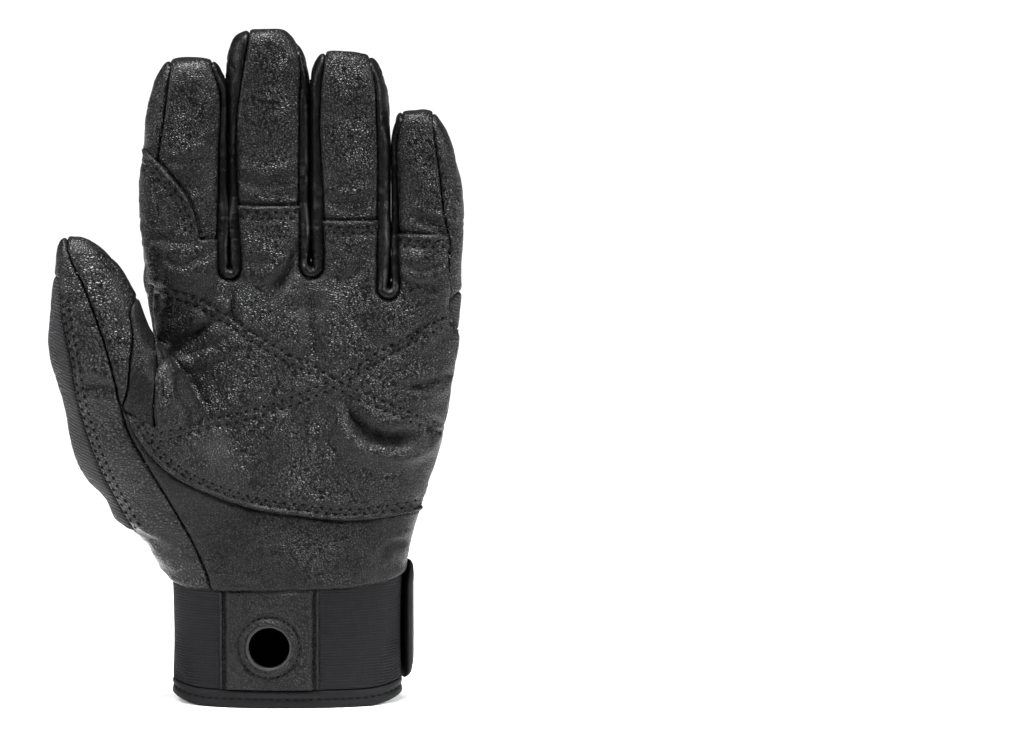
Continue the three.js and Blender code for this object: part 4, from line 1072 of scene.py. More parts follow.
def crotch_ridge(points, normals, i):
    """How far the rolled edge of a fourchette stands up, near its U on the palm side."""
    outline = fourchette_outline(i)
    away = -outline_distance(points[:, 0], points[:, 2], outline)
    t = np.clip(away / RIDGE, 0, 1)
    bulge = np.sqrt(np.maximum(0, 1 - (2 * t - 1) ** 2))
    height = PATCH_EDGES[NAMES[i + 1]] * FINGERS[NAMES[i + 1]]["length"] + CROTCH_LINE
    fade = np.clip((height + 6 * MM - points[:, 2]) / (10 * MM), 0, 1)
    palm_side = np.clip(-2 * normals[:, 1] - 0.2, 0, 1)
    return (PATCH_STANDS + 0.5 * MM) * bulge * fade * palm_side


def touch(points, normals, i):
    """How far the facing walls of two fingers bulge, so that they touch above the crotch."""
    rise = points[:, 2] - CROTCH_LINE + FINGERS[NAMES[i]]["dip"]
    facing = np.clip(2.5 * np.abs(normals[:, 0]) - 1.5, 0, 1)
    middle = FINGERS[NAMES[i]]["axis"] + (FINGERS[NAMES[i]]["width"] + FINGER_GAP) / 2
    away = np.abs(points[:, 0] - middle)
    top = CROTCH_LINE + min(FINGERS[NAMES[k]]["length"] for k in (i, i + 1)) - 5 * MM
    near = np.clip((4 * MM - away) / (1.5 * MM), 0, 1) * np.clip(rise / MM, 0, 1)
    near *= np.clip((top - points[:, 2]) / (7 * MM), 0, 1)
    return np.maximum(away - hollow(rise, points[:, 1]) - TOUCHING, 0) * facing * near


# %% [markdown]
# Now each cutting is lifted, closed and tied to the solid that it stands for. The leather's hem isn't
# sewn down: it is folded under, and so it ends in a soft bead. Beside the patch's turned edges the leather
# under it is pressed down, and that draws the dark line outside the patch.

# %% Sewing the panels
HEM_BEAD, HEM_DROP = 0.7 * MM, 0.9 * MM
PRESSED, PRESSED_WIDTH = 0.7 * MM, 0.8 * MM
skins = {}
under_patch = [f"finger_{finger}_front" for finger in NAMES] + ["palm_panel"]
for name, (panel, faces) in panels.items():
    points, normals = panel[:, :3], panel[:, 3:] / np.linalg.norm(panel[:, 3:], axis=1)[:, None]
    rim = points[np.unique(rim_edges(faces))]
    at_hem = np.abs(above_hem(rim)) < 0.2 * MM
    lift = -SEAM_DEPTH * quarter_round(distance_to(points, rim[~at_hem]), SHOULDER)
    if at_hem.any():
        away = distance_to(points, rim[at_hem])
        lift += HEM_BEAD * bump_line(away - 2 * MM, 2 * MM) - HEM_DROP * quarter_round(away, 1 * MM)
    if name.startswith("fourchette"):
        i = [k for k in range(3) if name.endswith(NAMES[k + 1])][0]
        lift += crotch_ridge(points, normals, i) + touch(points, normals, i)
    if name in under_patch:
        beside = from_lines(points, turned_lines)
        lift -= PRESSED * bump_line(beside, PRESSED_WIDTH) * np.clip(-3 * normals[:, 1], 0, 1)
    outer = points + normals * lift[:, None]
    inner = points - normals * LEATHER
    skins[name] = (outer, faces)
    slot = slot_of(name)
    # The strips between the fingers take the darker leather: painted shade between the fingers.
    finish = ROLLED_LEATHER_WITH_PAINTED_SHADE if name.startswith("fourchette") else FINISH[slot]
    fit(add_mesh(name + "_sewn", *closed_sheet(outer, inner, faces), finish), slot, name)
print("panels sewn:", len(skins))

# %% [markdown]
# ## The palm patch
#
# The palm has a second layer of leather, laid over the first and sewn down with two rows of stitches
# just inside its edge. The edge is turned under, so it is thicker there and shows as a smooth bead.
# A large X of double stitching holds the two layers together across the palm. The patch is cut from
# the same skin, lifted by the two layers.

# %% Rows of stitches
def offset(line, distance):
    """A line moved to its left by a distance, in the view from the palm side."""
    line = np.array(line, float)
    ahead = np.gradient(line, axis=0)
    ahead /= np.linalg.norm(ahead, axis=1)[:, None]
    return line + distance * np.stack([-ahead[:, 1], ahead[:, 0]], 1)


def marks(line, pitch, start=0.5):
    """Points along a line at each pitch, with the direction of the line there."""
    line = np.array(line, float)
    along = np.concatenate([[0], np.cumsum(np.linalg.norm(np.diff(line, axis=0), axis=1))])
    places = np.arange(start * pitch, along[-1], pitch)
    spots = np.stack([np.interp(places, along, line[:, k]) for k in range(line.shape[1])], 1)
    nearby = np.stack([np.interp(places + 0.2 * MM, along, line[:, k]) for k in range(line.shape[1])], 1)
    return spots, nearby - spots


def row_start(row):
    """Neighbouring rows are half a stitch apart."""
    return 0.25 + 0.5 * (row % 2)


STITCH_LENGTH, STITCH_THICKNESS, STITCH_PITCH = 2.1 * MM, 1.1 * MM, 3.4 * MM
# The X: two lines over the palm, x and z in mm.
X_FALLING = curve(mm((-46, 151), (-36.6, 148.8), (-22.1, 141.5), (-8, 132.5), (9.4, 123.1), (24.3, 114.8),
                     (42.4, 106.8), (56, 100.2)))
X_RISING = curve(mm((61, 141.6), (51.8, 136.8), (36.6, 129.2), (21.7, 120.5), (5.8, 112.9), (-15.2, 106.1),
                    (-37.6, 101.7), (-48, 99.5)))
X_HALF_GAP = 1.45 * MM                   # between the X's middle and each of its two rows
LOWER_ROWS, SLANT_ROWS, FINGER_ROWS = (2.3 * MM, 4.0 * MM), (2.1 * MM, 4.3 * MM), (2.2 * MM, 4.4 * MM)
palm_rows = [offset(line, side * X_HALF_GAP) for line in (X_FALLING, X_RISING) for side in (-1, 1)]
palm_rows += [offset(lower_edge[8:], -distance) for distance in LOWER_ROWS]
palm_rows += [offset(slant[4:-4], -distance) for distance in SLANT_ROWS]
for name, up in PATCH_EDGES.items():
    finger = FINGERS[name]
    height = CROTCH_LINE + up * finger["length"]
    left, right = (finger["axis"] + side * 0.42 * finger["width"] for side in (-1, 1))
    for distance in FINGER_ROWS:
        palm_rows.append(np.array([(left, height - distance), (right, height - distance)]))
print("rows of stitches on the patch:", len(palm_rows))

# %% [markdown]
# The patch is cut from the skin as the panels are, without what the strips between the fingers cover.
# Its turned edge is a bead with a shallow groove behind it. Each stitch pulls the leather down a little,
# and between the stitches the whole row is sunk. Where the patch runs into a seam, it dives into it.

# %% Palm patch
patch_region = both(over(patch_outline), before(SIDE_SEAM - LEATHER))
for i in range(3):
    patch_region = both(patch_region, outside(over(fourchette_outline(i))))
patch_region = both(patch_region, outside(over(sidewall_outline("little", "right"))), outside(over(GORE)))
patch_data = np.concatenate([skin, skin_normals], 1)
patch_data, patch_faces, _ = split_skin(patch_data, skin_faces, patch_region(patch_data))
patch_data, patch_faces = kept(patch_data, largest_patch(patch_faces, len(patch_data))[0])
points, normals = patch_data[:, :3], patch_data[:, 3:] / np.linalg.norm(patch_data[:, 3:], axis=1)[:, None]
rim = points[np.unique(rim_edges(patch_faces))]
is_turned = from_lines(rim, turned_lines) < 0.25 * MM
away, from_seam = distance_to(points, rim[is_turned]), distance_to(points, rim[~is_turned])
BEAD_WIDTH, BEAD, BEAD_GROOVE = 1.9 * MM, 0.5 * MM, 0.3 * MM
bead = BEAD * bump_line(away - 0.5 * BEAD_WIDTH, 0.42 * BEAD_WIDTH)
groove = BEAD_GROOVE * bump_line(away - BEAD_WIDTH, 0.5 * MM)

DENT, ROW_SINK, DENT_WIDTH = 0.65 * MM, 0.3 * MM, 1.1 * MM
spots = np.concatenate([marks(line, STITCH_PITCH, row_start(row))[0] for row, line in enumerate(palm_rows)])
spots = np.insert(spots, 1, 0, axis=1)
dents = DENT * bump_line(distance_to(points * np.array([1, 0, 1]), spots), DENT_WIDTH)
rows_sink = ROW_SINK * bump_line(from_lines(points, palm_rows), DENT_WIDTH)

facing = np.clip(-2.5 * normals[:, 1], 0.15, 1)   # the edge stands up less where the patch turns sideways
lift = facing * (PATCH_STANDS + bead) - groove - dents - rows_sink - PATCH * quarter_round(away, 0.9 * MM)
lift -= (PATCH_STANDS + 0.2 * MM) * quarter_round(from_seam, 2.6 * MM)
patch_outer = points + normals * lift[:, None]
patch_inner = points + normals * (0.5 * CLEARANCE)
fit(add_mesh("palm_patch_sewn", *closed_sheet(patch_outer, patch_inner, patch_faces), PALM_LEATHER),
    "palm_leather", "palm_patch")
print("palm patch:", len(patch_faces), "triangles on its face")

# %% [markdown]
# ## The cuff
#
# The cuff is a woven elastic tube. Its ribs run round the wrist a millimetre apart. They are modelled,
# because they show in the outline and catch the light, and the finer weave is bump.

# %% Tubes round the wrist
def wrist_ring(grow, sides, start=0.0, end=2 * math.pi, power=WRIST_POWER):
    """Points of a wrist section grown by a length."""
    closed = abs(end - start - 2 * math.pi) < 1e-9
    angle = np.linspace(start, end, sides, endpoint=not closed)
    half_x, half_y = WRIST_WIDTH / 2 + grow, WRIST_DEPTH / 2 + grow
    c, s = np.cos(angle), np.sin(angle)
    x = half_x * np.sign(c) * np.abs(c) ** (2 / power)
    y = half_y * np.sign(s) * np.abs(s) ** (2 / power)
    return np.stack([x, y], 1)


SAG, SAG_START, SAG_END, SAG_HEIGHT = 2.8 * MM, 28 * MM, 41 * MM, 30 * MM


def sagged(points):
    """The wrist's lower edge rises at both sides, because the soft cuff sags in the middle."""
    points = np.array(points, float)
    t = np.clip((np.abs(points[:, 0]) - SAG_START) / (SAG_END - SAG_START), 0, 1)
    share = np.clip(1 - points[:, 2] / SAG_HEIGHT, 0, 1)
    points[:, 2] += SAG * t * t * share
    return points


def tube(name, profile, material, sides=170):
    """A closed tube round the wrist. profile is a loop of (how far out, height)."""
    rings = [np.column_stack([wrist_ring(grow, sides), np.full(sides, height)]) for grow, height in profile]
    count = len(profile)
    i, j = np.meshgrid(np.arange(count), np.arange(sides), indexing="ij")
    a = i * sides + j
    b = i * sides + (j + 1) % sides
    c = (i + 1) % count * sides + (j + 1) % sides
    d = (i + 1) % count * sides + j
    faces = np.stack([a, b, c, d], -1).reshape(-1, 4)
    return add_mesh(name, sagged(np.concatenate(rings)), faces, material)


# %% Elastic
BINDING_HEIGHT, BINDING = 6.6 * MM, 0.9 * MM
RIB, RIB_HEIGHT, RIB_POINTS = 1.05 * MM, 0.13 * MM, 6
WAIST, FULLNESS = 0.4 * MM, 0.7 * MM     # drawn in half way up, and standing out all over
SOOT = (0.0006, 0.0006, 0.0008)

cuff_low, cuff_top = BINDING_HEIGHT + CLEARANCE, CUFF_HEIGHT + 3.5 * MM
heights = np.linspace(cuff_low, cuff_top, int((cuff_top - cuff_low) / RIB * RIB_POINTS))
ribs = RIB_HEIGHT * np.cos(2 * math.pi * heights / RIB) - RIB_HEIGHT
waist = WAIST * np.sin(math.pi * np.clip((heights - cuff_low) / (CUFF_HEIGHT - cuff_low), 0, 1))
outside_face = [(FULLNESS + rib - dip, height) for rib, dip, height in zip(ribs, waist, heights)]
inside_face = [(-ELASTIC, height) for height in np.linspace(cuff_top, cuff_low, 12)]

elastic = Nodes("ribbed elastic", Roughness=0.75, Specular_IOR_Level=0.08)
rows = elastic.waves("Z", 0.314 / RIB, 0.15)
cords = elastic.noise(1200, 2.0, elastic.stretched(1, 1, 0.35, elastic.shaken(300, 0.4 * MM)))
weave = elastic.math("ADD", elastic.math("MULTIPLY", rows, 0.3), elastic.math("MULTIPLY", cords, 0.8))
elastic.relief(weave, 0.3 * MM)
elastic.colour(elastic.ramp(elastic.math("ADD", rows, cords), 0.3, 1.5), SOOT, (0.006, 0.006, 0.0068))
cuff = tube("cuff_elastic", outside_face + inside_face, elastic.material)
fit(cuff, "ribbed_elastic", "cuff_band")
print("ribs:", int((cuff_top - cuff_low) / RIB))

# %% [markdown]
# The wrist opening is bound with a folded tape: a band with a sewn groove half way up, and a rounded
# lip under it. One closed profile swept round the wrist gives both.

# %% Hem binding
def arc(centre, radius_out, radius_up, start, end, count=8):
    turn = np.radians(np.linspace(start, end, count))
    return [(centre[0] + radius_out * math.cos(a), centre[1] + radius_up * math.sin(a)) for a in turn]


groove_height = 3.3 * MM
lip = arc((0, 1.6 * MM), BINDING, 1.6 * MM, -90, 60, 9)
band = arc((0, 5.2 * MM), BINDING * 0.95, 1.4 * MM, -40, 100, 9)
profile = [(-ELASTIC - BINDING + 0.4 * MM, 0.2 * MM), *lip, (0.35 * MM, groove_height - 0.1 * MM),
           (0.35 * MM, groove_height + 0.2 * MM), *band,
           (-ELASTIC - BINDING, BINDING_HEIGHT - 0.4 * MM), (-ELASTIC - BINDING, 0.8 * MM)]
tape = Nodes("binding tape", Roughness=0.55, Specular_IOR_Level=0.08)
weave = tape.noise(2600, 2.0, tape.stretched(1, 1, 2.2))
tape.relief(weave, 0.12 * MM)
tape.colour(tape.ramp(weave, 0.3, 0.7), SOOT, (0.003, 0.003, 0.0036))
fit(tube("hem_tape", profile, tape.material), "binding_tape", "hem_binding")
print("profile of the binding:", len(profile), "points")

# %% [markdown]
# ## Leather tab and the carabiner hole
#
# A leather tab is sewn over the cuff so that the glove can hang from a carabiner. Its middle is padded
# a little and stands up between two sewn grooves. The hole has a moulded rim and a ring of stitches.
# The tab is a flat net of squares bent round the wrist, with its relief as a function of the place.

# %% Tab
TAB_WIDTH, TAB_SHIFT = 36.6 * MM, 6 * MM
HOLE_RADIUS, HOLE_HEIGHT = 7.4 * MM, 22.3 * MM
RING_OF_STITCHES = 11.1 * MM
CUT_RADIUS = HOLE_RADIUS + 0.5 * MM    # the leather and the elastic end under the rim's flange
TAB_SEAM = 16.4 * MM                   # stitched groove each side of the tab's middle
PADDING, TAB_EDGE = 0.9 * MM, 0.7 * MM


def net(width, height, pitch):
    """A flat net of triangles from 0 to width and 0 to height."""
    across, up = np.linspace(0, width, int(width / pitch)), np.linspace(0, height, int(height / pitch))
    u, v = np.meshgrid(across, up, indexing="ij")
    i, j = np.meshgrid(np.arange(len(across) - 1), np.arange(len(up) - 1), indexing="ij")
    a = (i * len(up) + j).ravel()
    b, c, d = a + len(up), a + len(up) + 1, a + 1
    faces = np.concatenate([np.stack([a, b, c], 1), np.stack([a, c, d], 1)])
    return np.stack([u.ravel(), v.ravel()], 1), faces


def wrist_front(x, grow):
    """Depth of the wrist's palm side at x, grown by a length."""
    ratio = np.clip(np.abs(x) / (WRIST_WIDTH / 2 + grow), 0, 1)
    return -(WRIST_DEPTH / 2 + grow) * (1 - ratio ** WRIST_POWER) ** (1 / WRIST_POWER)


# %% Cutting the tab
flat, tab_faces = net(TAB_WIDTH, CUFF_HEIGHT + 1.5 * MM - cuff_low, 0.45 * MM)
flat = flat + np.array([-TAB_SHIFT - TAB_WIDTH / 2, cuff_low])
from_hole = np.hypot(flat[:, 0] + TAB_SHIFT, flat[:, 1] - HOLE_HEIGHT)
flat_data = np.column_stack([flat, from_hole])
flat_data, tab_faces, _ = split_skin(flat_data, tab_faces, CUT_RADIUS - from_hole)
flat_data, tab_faces = kept(flat_data, tab_faces)
x, z, from_hole = flat_data.T
u = np.abs(x + TAB_SHIFT)
print("tab:", len(flat_data), "points")

# %% [markdown]
# The relief is a sum of simple parts: the padding between the two seams, a fold at each side, the grooves
# of the rows, a swell round the hole and a little unevenness. At the top the tab is tucked under the palm.

# %% Relief of the tab
padding = PADDING / (1 + np.exp((u - TAB_SEAM + PADDING) / (0.28 * MM)))
edge_fold = 0.9 * MM * bump_line(u - TAB_WIDTH / 2 + 0.9 * MM, 0.5 * MM)
seam_groove = 0.6 * MM * bump_line(u - TAB_SEAM, 0.55 * MM)
ring_groove = 0.7 * MM * bump_line(from_hole - RING_OF_STITCHES, 0.6 * MM)
ring_swell = 0.55 * MM * bump_line(from_hole - 9.3 * MM, 1.2 * MM)
crease_noise = 0.12 * MM * noise(np.column_stack([x, 0 * x, z]), 5 * MM, 11)
relief = CLEARANCE + TAB_EDGE + padding + edge_fold - seam_groove - ring_groove + ring_swell + crease_noise
relief -= TAB_EDGE * quarter_round(TAB_WIDTH / 2 - u, TAB_EDGE)
tucked = np.clip((z - CUFF_HEIGHT + 1.6 * MM) / (1.6 * MM), 0, 1)
relief -= 0.9 * MM * tucked * tucked * (3 - 2 * tucked)
tab_outer = np.column_stack([x, wrist_front(x, 0) - relief, z])
tab_inner = np.column_stack([x, wrist_front(x, 0) - 0.5 * CLEARANCE, z])
fit(add_mesh("cuff_tab_sewn", *closed_sheet(tab_outer, tab_inner, tab_faces), HEEL_LEATHER), "heel_leather",
    "cuff_tab")

# %% [markdown]
# The elastic under the tab is punched through with the same hole, by a round bar from the palm side to
# the middle of the wrist.

# %% Hole in the elastic
BAR_SIDES = 64
turn = np.linspace(0, 2 * math.pi, BAR_SIDES, endpoint=False)
cutter_points = [(-TAB_SHIFT + CUT_RADIUS * math.cos(a), depth, HOLE_HEIGHT + CUT_RADIUS * math.sin(a))
                 for depth in (-WRIST_DEPTH, 0) for a in turn]
cutter_faces = [list(range(BAR_SIDES)), list(range(2 * BAR_SIDES - 1, BAR_SIDES - 1, -1))]
cutter_faces += [[k, BAR_SIDES + k, BAR_SIDES + (k + 1) % BAR_SIDES, (k + 1) % BAR_SIDES]
                 for k in range(BAR_SIDES)]
cutter = add_mesh("hole_cutter", cutter_points, cutter_faces, elastic.material)
hole = cuff.modifiers.new("hole", "BOOLEAN")
hole.object, hole.operation, hole.solver = cutter, "DIFFERENCE", "MANIFOLD"
bpy.context.view_layer.objects.active = cuff
bpy.ops.object.modifier_apply(modifier=hole.name)
bpy.data.objects.remove(cutter)
print("cuff after the hole:", len(cuff.data.polygons), "faces")

# %% [markdown]
# The hole's rim is one turned ring: a flange that lies on the leather and a throat that goes through.

# %% Rim of the hole
front = WRIST_DEPTH / 2 + CLEARANCE + TAB
rim_profile = [
    (HOLE_RADIUS + 1.1 * MM, front + 0.1 * MM), (HOLE_RADIUS + 0.9 * MM, front + 0.35 * MM),
    (HOLE_RADIUS + 0.45 * MM, front + 0.45 * MM), (HOLE_RADIUS + 0.08 * MM, front + 0.3 * MM),
    (HOLE_RADIUS, front - 0.1 * MM), (HOLE_RADIUS, WRIST_DEPTH / 2 - ELASTIC),
    (HOLE_RADIUS + 0.45 * MM, WRIST_DEPTH / 2 - ELASTIC - 0.2 * MM),
    (HOLE_RADIUS + 0.48 * MM, front - 0.3 * MM),
]
SIDES = 96
rim_points, rim_faces = [], []
for radius, depth in rim_profile:
    for k in range(SIDES):
        a = 2 * math.pi * k / SIDES
        rim_points.append((-TAB_SHIFT + radius * math.cos(a), -depth, HOLE_HEIGHT + radius * math.sin(a)))
for row in range(len(rim_profile)):
    for k in range(SIDES):
        after, turn = (row + 1) % len(rim_profile), (k + 1) % SIDES
        rim_faces.append([row * SIDES + k, row * SIDES + turn, after * SIDES + turn, after * SIDES + k])
satin = Nodes("satin rim", Base_Color=(0.006, 0.006, 0.0066, 1), Roughness=0.5, Specular_IOR_Level=0.2)
satin.relief(satin.noise(1500, 3.0), 0.04 * MM)
fit(add_mesh("hole_rim", rim_points, rim_faces, satin.material), "eyelet", "eyelet_ring")
print("rim of the hole:", len(rim_faces), "faces")

# %% [markdown]
# ## The strap
#
# The strap closes the cuff at the outer side of the wrist and runs round the back. It is a thick flat
# tongue with round corners and round edges. It is made as a flat net, cut to a rounded rectangle and
# bent round the wrist, thinner towards its edge.

# %% Strap
STRAP_LOW, STRAP_TALL, STRAP_CORNER = 7.4 * MM, 44 * MM, 10 * MM
STRAP_BOW, STRAP_ROUND = 1.7 * MM, 10 * MM
STAND_OFF = CLEARANCE + LEATHER + 0.3 * MM
FLARE = 0.03 * PALM_DEPTH                # how far its upper edge stands out over the leather
THINNED, THINNED_WIDTH = 0.65, 8 * MM    # share of the thickness that is lost at the edge
STRAP_SEAM, STRAP_SEAM_PLACE, STRAP_SEAM_WIDTH = 0.25 * MM, 3.2 * MM, 0.6 * MM

path = wrist_ring(STAND_OFF + STRAP / 2, 400, -0.12, math.pi - 0.9)
steps_along = np.concatenate([[0], np.cumsum(np.linalg.norm(np.diff(path, axis=0), axis=1))])
strap_flat, strap_faces = net(steps_along[-1], STRAP_TALL, 0.6 * MM)
half_long, half_tall = steps_along[-1] / 2, STRAP_TALL / 2
qx = np.abs(strap_flat[:, 0] - half_long) - half_long + STRAP_CORNER
qz = np.abs(strap_flat[:, 1] - half_tall) - half_tall + STRAP_CORNER
edge_away = np.hypot(np.maximum(qx, 0), np.maximum(qz, 0)) + np.minimum(np.maximum(qx, qz), 0) - STRAP_CORNER
strap_data = np.column_stack([strap_flat, edge_away])
strap_data, strap_faces, _ = split_skin(strap_data, strap_faces, edge_away)
strap_data, strap_faces = kept(strap_data, strap_faces)
print("strap, mm:", round(steps_along[-1] / MM, 1), "long,", round(STRAP_TALL / MM, 1), "wide")

# %% [markdown]
# Bending keeps each point's place along the wrist and its height. The two faces then stand off the
# middle line by half the thickness, which shrinks to nothing on a quarter circle at the edge. A seam
# runs round the strap just inside its edge, and its long edges bow in towards the cuff.

# %% Bending the strap
along, up, edge_away = strap_data.T
middle_line = np.stack([np.interp(along, steps_along, path[:, k]) for k in range(2)], 1)
ahead = np.stack([np.interp(along + 0.3 * MM, steps_along, path[:, k]) for k in range(2)], 1)
behind_it = np.stack([np.interp(along - 0.3 * MM, steps_along, path[:, k]) for k in range(2)], 1)
tangent = (ahead - behind_it) / np.linalg.norm(ahead - behind_it, axis=1)[:, None]
outward = np.stack([tangent[:, 1], -tangent[:, 0]], 1)
z = STRAP_LOW + up
flare = FLARE * np.clip((z - CUFF_HEIGHT) / (STRAP_LOW + STRAP_TALL - CUFF_HEIGHT), 0, 1)
half_thick = STRAP / 2 * (1 - THINNED * quarter_round(-edge_away, THINNED_WIDTH))
half_thick = half_thick * (1 - quarter_round(-edge_away, STRAP / 2)) + 0.02 * MM
from_end = half_tall - np.abs(up - half_tall)
bow = STRAP_BOW * quarter_round(from_end, STRAP_ROUND)
seam_line = STRAP_SEAM * bump_line(-edge_away - STRAP_SEAM_PLACE, STRAP_SEAM_WIDTH)
outer = middle_line + outward * (flare - bow + half_thick - seam_line)[:, None]
inner = middle_line + outward * (flare - bow - half_thick)[:, None]
strap_weave = Nodes("hook and loop strap", Roughness=0.6, Specular_IOR_Level=0.1)
grain = strap_weave.noise(3000, 2.0)
strap_weave.relief(grain, 0.07 * MM)
strap_weave.colour(strap_weave.ramp(grain, 0.3, 0.7), SOOT, (0.003, 0.003, 0.0036))
strap_points, strap_all = closed_sheet(np.column_stack([outer, z]), np.column_stack([inner, z]), strap_faces)
strap = add_mesh("wrist_strap_closed", strap_points, strap_all, strap_weave.material)
fit(strap, "hook_and_loop", "wrist_strap")
print("strap:", len(strap_all), "faces")

# %% [markdown]
# ## Stitches
#
# Thread shows as a row of short dark arches with a needle hole at each end. Each stitch is its own small
# body, laid on the leather where a ray from the palm side meets it. All the stitches of a seam are
# joined into one object. Rows are offset lines of the edges that they follow.

# %% Stitch helpers
def surface_of(points, faces):
    return BVHTree.FromPolygons(points.tolist(), faces.tolist())


def seats_from_front(lines, surface, pitch=STITCH_PITCH):
    """Where a row's stitches lie: place, outward direction, direction of the row."""
    seats = []
    for row, line in enumerate(lines):
        for (x, z), (dx, dz) in zip(*marks(line, pitch, row_start(row))):
            place, normal, _, _ = surface.ray_cast(Vector((x, -0.2, z)), Vector((0, 1, 0)))
            if place is not None and normal.y < -0.15:
                seats.append((place, normal, Vector((dx, 0, dz))))
    return seats


def sew(name, seats, slot, length=STITCH_LENGTH, thick=STITCH_THICKNESS, sink=0.1 * MM):
    """One object of all the stitches on these seats."""
    rings, sides = 6, 8
    points, faces = [], []
    for place, normal, along in seats:
        normal = normal.normalized()
        along = (along - normal * along.dot(normal)).normalized()
        side = normal.cross(along)
        first = len(points)
        for ring in range(rings + 1):
            t = 2 * ring / rings - 1
            radius = 0.5 * thick * math.sqrt(max(0.0, 1 - abs(t) ** 2.6)) + 0.02 * MM
            centre = place + along * (0.5 * length * t) - normal * (sink + 0.45 * thick * t * t)
            for k in range(sides):
                a = 2 * math.pi * k / sides
                points.append(centre + side * (radius * math.cos(a)) + normal * (0.8 * radius * math.sin(a)))
        for ring in range(rings):
            for k in range(sides):
                a, b = first + ring * sides + k, first + ring * sides + (k + 1) % sides
                faces.append([a, a + sides, b + sides, b])
        faces.append([first + k for k in range(sides)])
        faces.append([first + rings * sides + k for k in reversed(range(sides))])
    made = add_mesh(name, [tuple(point) for point in points], faces, THREAD)
    print(name, "has", len(seats), "stitches")
    return fit(made, slot)


# %% Rows of the palm
patch_surface = surface_of(patch_outer, patch_faces)
sew("palm_stitches", seats_from_front(palm_rows, patch_surface), "palm_leather")

# %% Rows of the thumb
border = np.array(fabric_side)
thumb_rows = [offset(border[4:], distance) for distance in (1.2 * MM, 3.3 * MM)]
thumb_surface = surface_of(*skins["thumb_outer_panel"])
sew("thumb_stitches", seats_from_front(thumb_rows, thumb_surface, 3.2 * MM), "pebbled_leather", 2.0 * MM)

# %% Rows of the cuff
tab_seams = [-TAB_SHIFT + side * TAB_SEAM for side in (-1, 1)]
tab_rows = [np.array([(x, cuff_low + 1 * MM), (x, CUFF_HEIGHT)]) for x in tab_seams]
turn = np.linspace(0.4, 0.4 + 2 * math.pi, 60)
ring = RING_OF_STITCHES * np.stack([np.cos(turn), np.sin(turn)], 1)
tab_rows.append(ring + np.array([-TAB_SHIFT, HOLE_HEIGHT]))
tab_surface = surface_of(tab_outer, tab_faces)
sew("tab_stitches", seats_from_front(tab_rows, tab_surface, 2.3 * MM), "heel_leather", 1.6 * MM, 0.8 * MM)

hem_ring = wrist_ring(0.45 * MM, 400)
spots, ahead = marks(np.concatenate([hem_ring, hem_ring[:1]]), 2.9 * MM)
spots = sagged([(x, y, groove_height) for x, y in spots])
seats = [(Vector(spot), Vector((dy, -dx, 0)), Vector((dx, dy, 0))) for spot, (dx, dy) in zip(spots, ahead)]
sew("hem_stitches", seats, "binding_tape", 1.9 * MM, 0.55 * MM, 0.0)

# %% [markdown]
# ## Light, floor and camera
#
# Black leather is only seen by what it reflects. The floor ends a little in front of the glove, or its
# reflection would turn the whole palm grey. For the same reason the sky is dim to all but the camera. A
# soft sun high above whitens the floor, and four small soft lights draw the highlights on the pebbles.

# %% Stage
SKY_LIGHT = 0.09                       # light of the sky on the glove; the camera sees plain white
floor_material = Nodes("pale floor", Base_Color=(0.88, 0.88, 0.88, 1), Roughness=0.9)
FLOOR_REACH, FLOOR_FRONT = 60, -0.45
floor_points = [(-FLOOR_REACH, FLOOR_FRONT, 0), (FLOOR_REACH, FLOOR_FRONT, 0), (FLOOR_REACH, FLOOR_REACH, 0),
                (-FLOOR_REACH, FLOOR_REACH, 0)]
floor_faces = [[0, 1, 2, 3]]
floor = add_mesh("floor", floor_points, floor_faces, floor_material.material)

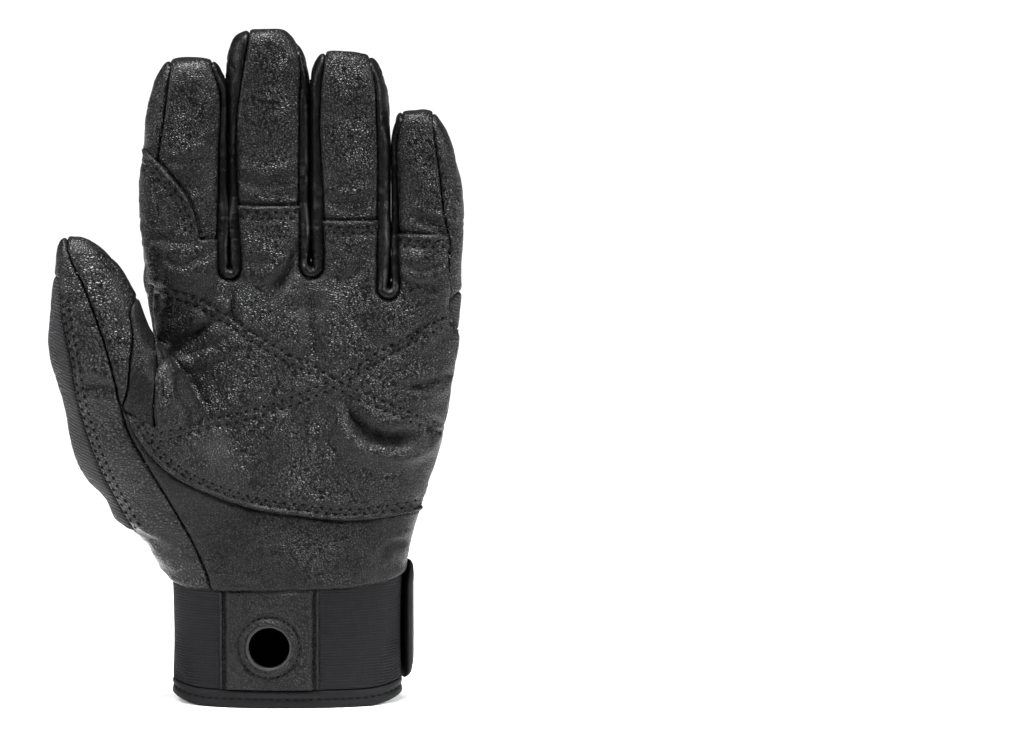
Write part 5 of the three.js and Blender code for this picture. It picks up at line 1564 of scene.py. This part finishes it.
world = bpy.data.worlds.new("studio")
world.use_nodes = True
sky = world.node_tree.nodes["Background"]
sky.inputs["Color"].default_value = (1, 1, 1, 1)
rays = world.node_tree.nodes.new("ShaderNodeLightPath")
strength = world.node_tree.nodes.new("ShaderNodeMapRange")
strength.inputs["To Min"].default_value = SKY_LIGHT
strength.inputs["To Max"].default_value = 1.0
world.node_tree.links.new(rays.outputs["Is Camera Ray"], strength.inputs["Value"])
world.node_tree.links.new(strength.outputs["Result"], sky.inputs["Strength"])
bpy.context.scene.world = world
bpy.context.scene.view_settings.view_transform = "Standard"
print("sky's share of light on the glove:", SKY_LIGHT)

# %% Lights
def soft_light(name, place, width, height, power, spread):
    light = bpy.data.lights.new(name, "AREA")
    light.shape, light.size, light.size_y, light.energy = "RECTANGLE", width, height, power
    light.spread = math.radians(spread)
    made = bpy.data.objects.new(name, light)
    made.location = place
    aim = Vector((0, 0, 0.13)) - Vector(place)
    made.rotation_euler = aim.to_track_quat("-Z", "Y").to_euler()
    bpy.context.scene.collection.objects.link(made)


sun = bpy.data.lights.new("soft sun", "SUN")
sun.energy, sun.angle = 4.0, math.radians(25)
sun_object = bpy.data.objects.new("soft sun", sun)
sun_object.rotation_euler = Vector((0.05, 0.25, -1)).to_track_quat("-Z", "Y").to_euler()
bpy.context.scene.collection.objects.link(sun_object)
soft_light("key from the upper left", (-0.75, -1.0, 1.25), 0.35, 0.35, 1.7, 45)
soft_light("light from the right", (1.35, -0.6, 0.7), 0.3, 0.5, 2.6, 40)
soft_light("light from the left", (-1.3, -0.45, 0.55), 0.3, 0.5, 1.3, 40)
soft_light("light over the fingertips", (0.0, -0.1, 1.3), 0.7, 0.25, 5.2, 45)

# %% [markdown]
# The glove is seen from the palm side and a little from above, by a long lens, so that its proportions
# hardly change with depth.

# %% Camera
FRAME_WIDTH = 371.5 * MM                 # width of the picture at the glove
DISTANCE = 3.0
ELEVATION = math.radians(6.5)
LOOK_AT = Vector((81.8 * MM, 0, 121.7 * MM))
camera = bpy.data.cameras.new("camera")
camera.sensor_width = 36
camera.lens = camera.sensor_width * DISTANCE / FRAME_WIDTH
camera_object = bpy.data.objects.new("camera", camera)
camera_object.location = LOOK_AT + DISTANCE * Vector((0, -math.cos(ELEVATION), math.sin(ELEVATION)))
camera_object.rotation_euler = (math.pi / 2 - ELEVATION, 0, 0)
bpy.context.scene.collection.objects.link(camera_object)
bpy.context.scene.camera = camera_object
print("lens, mm:", round(camera.lens, 1))
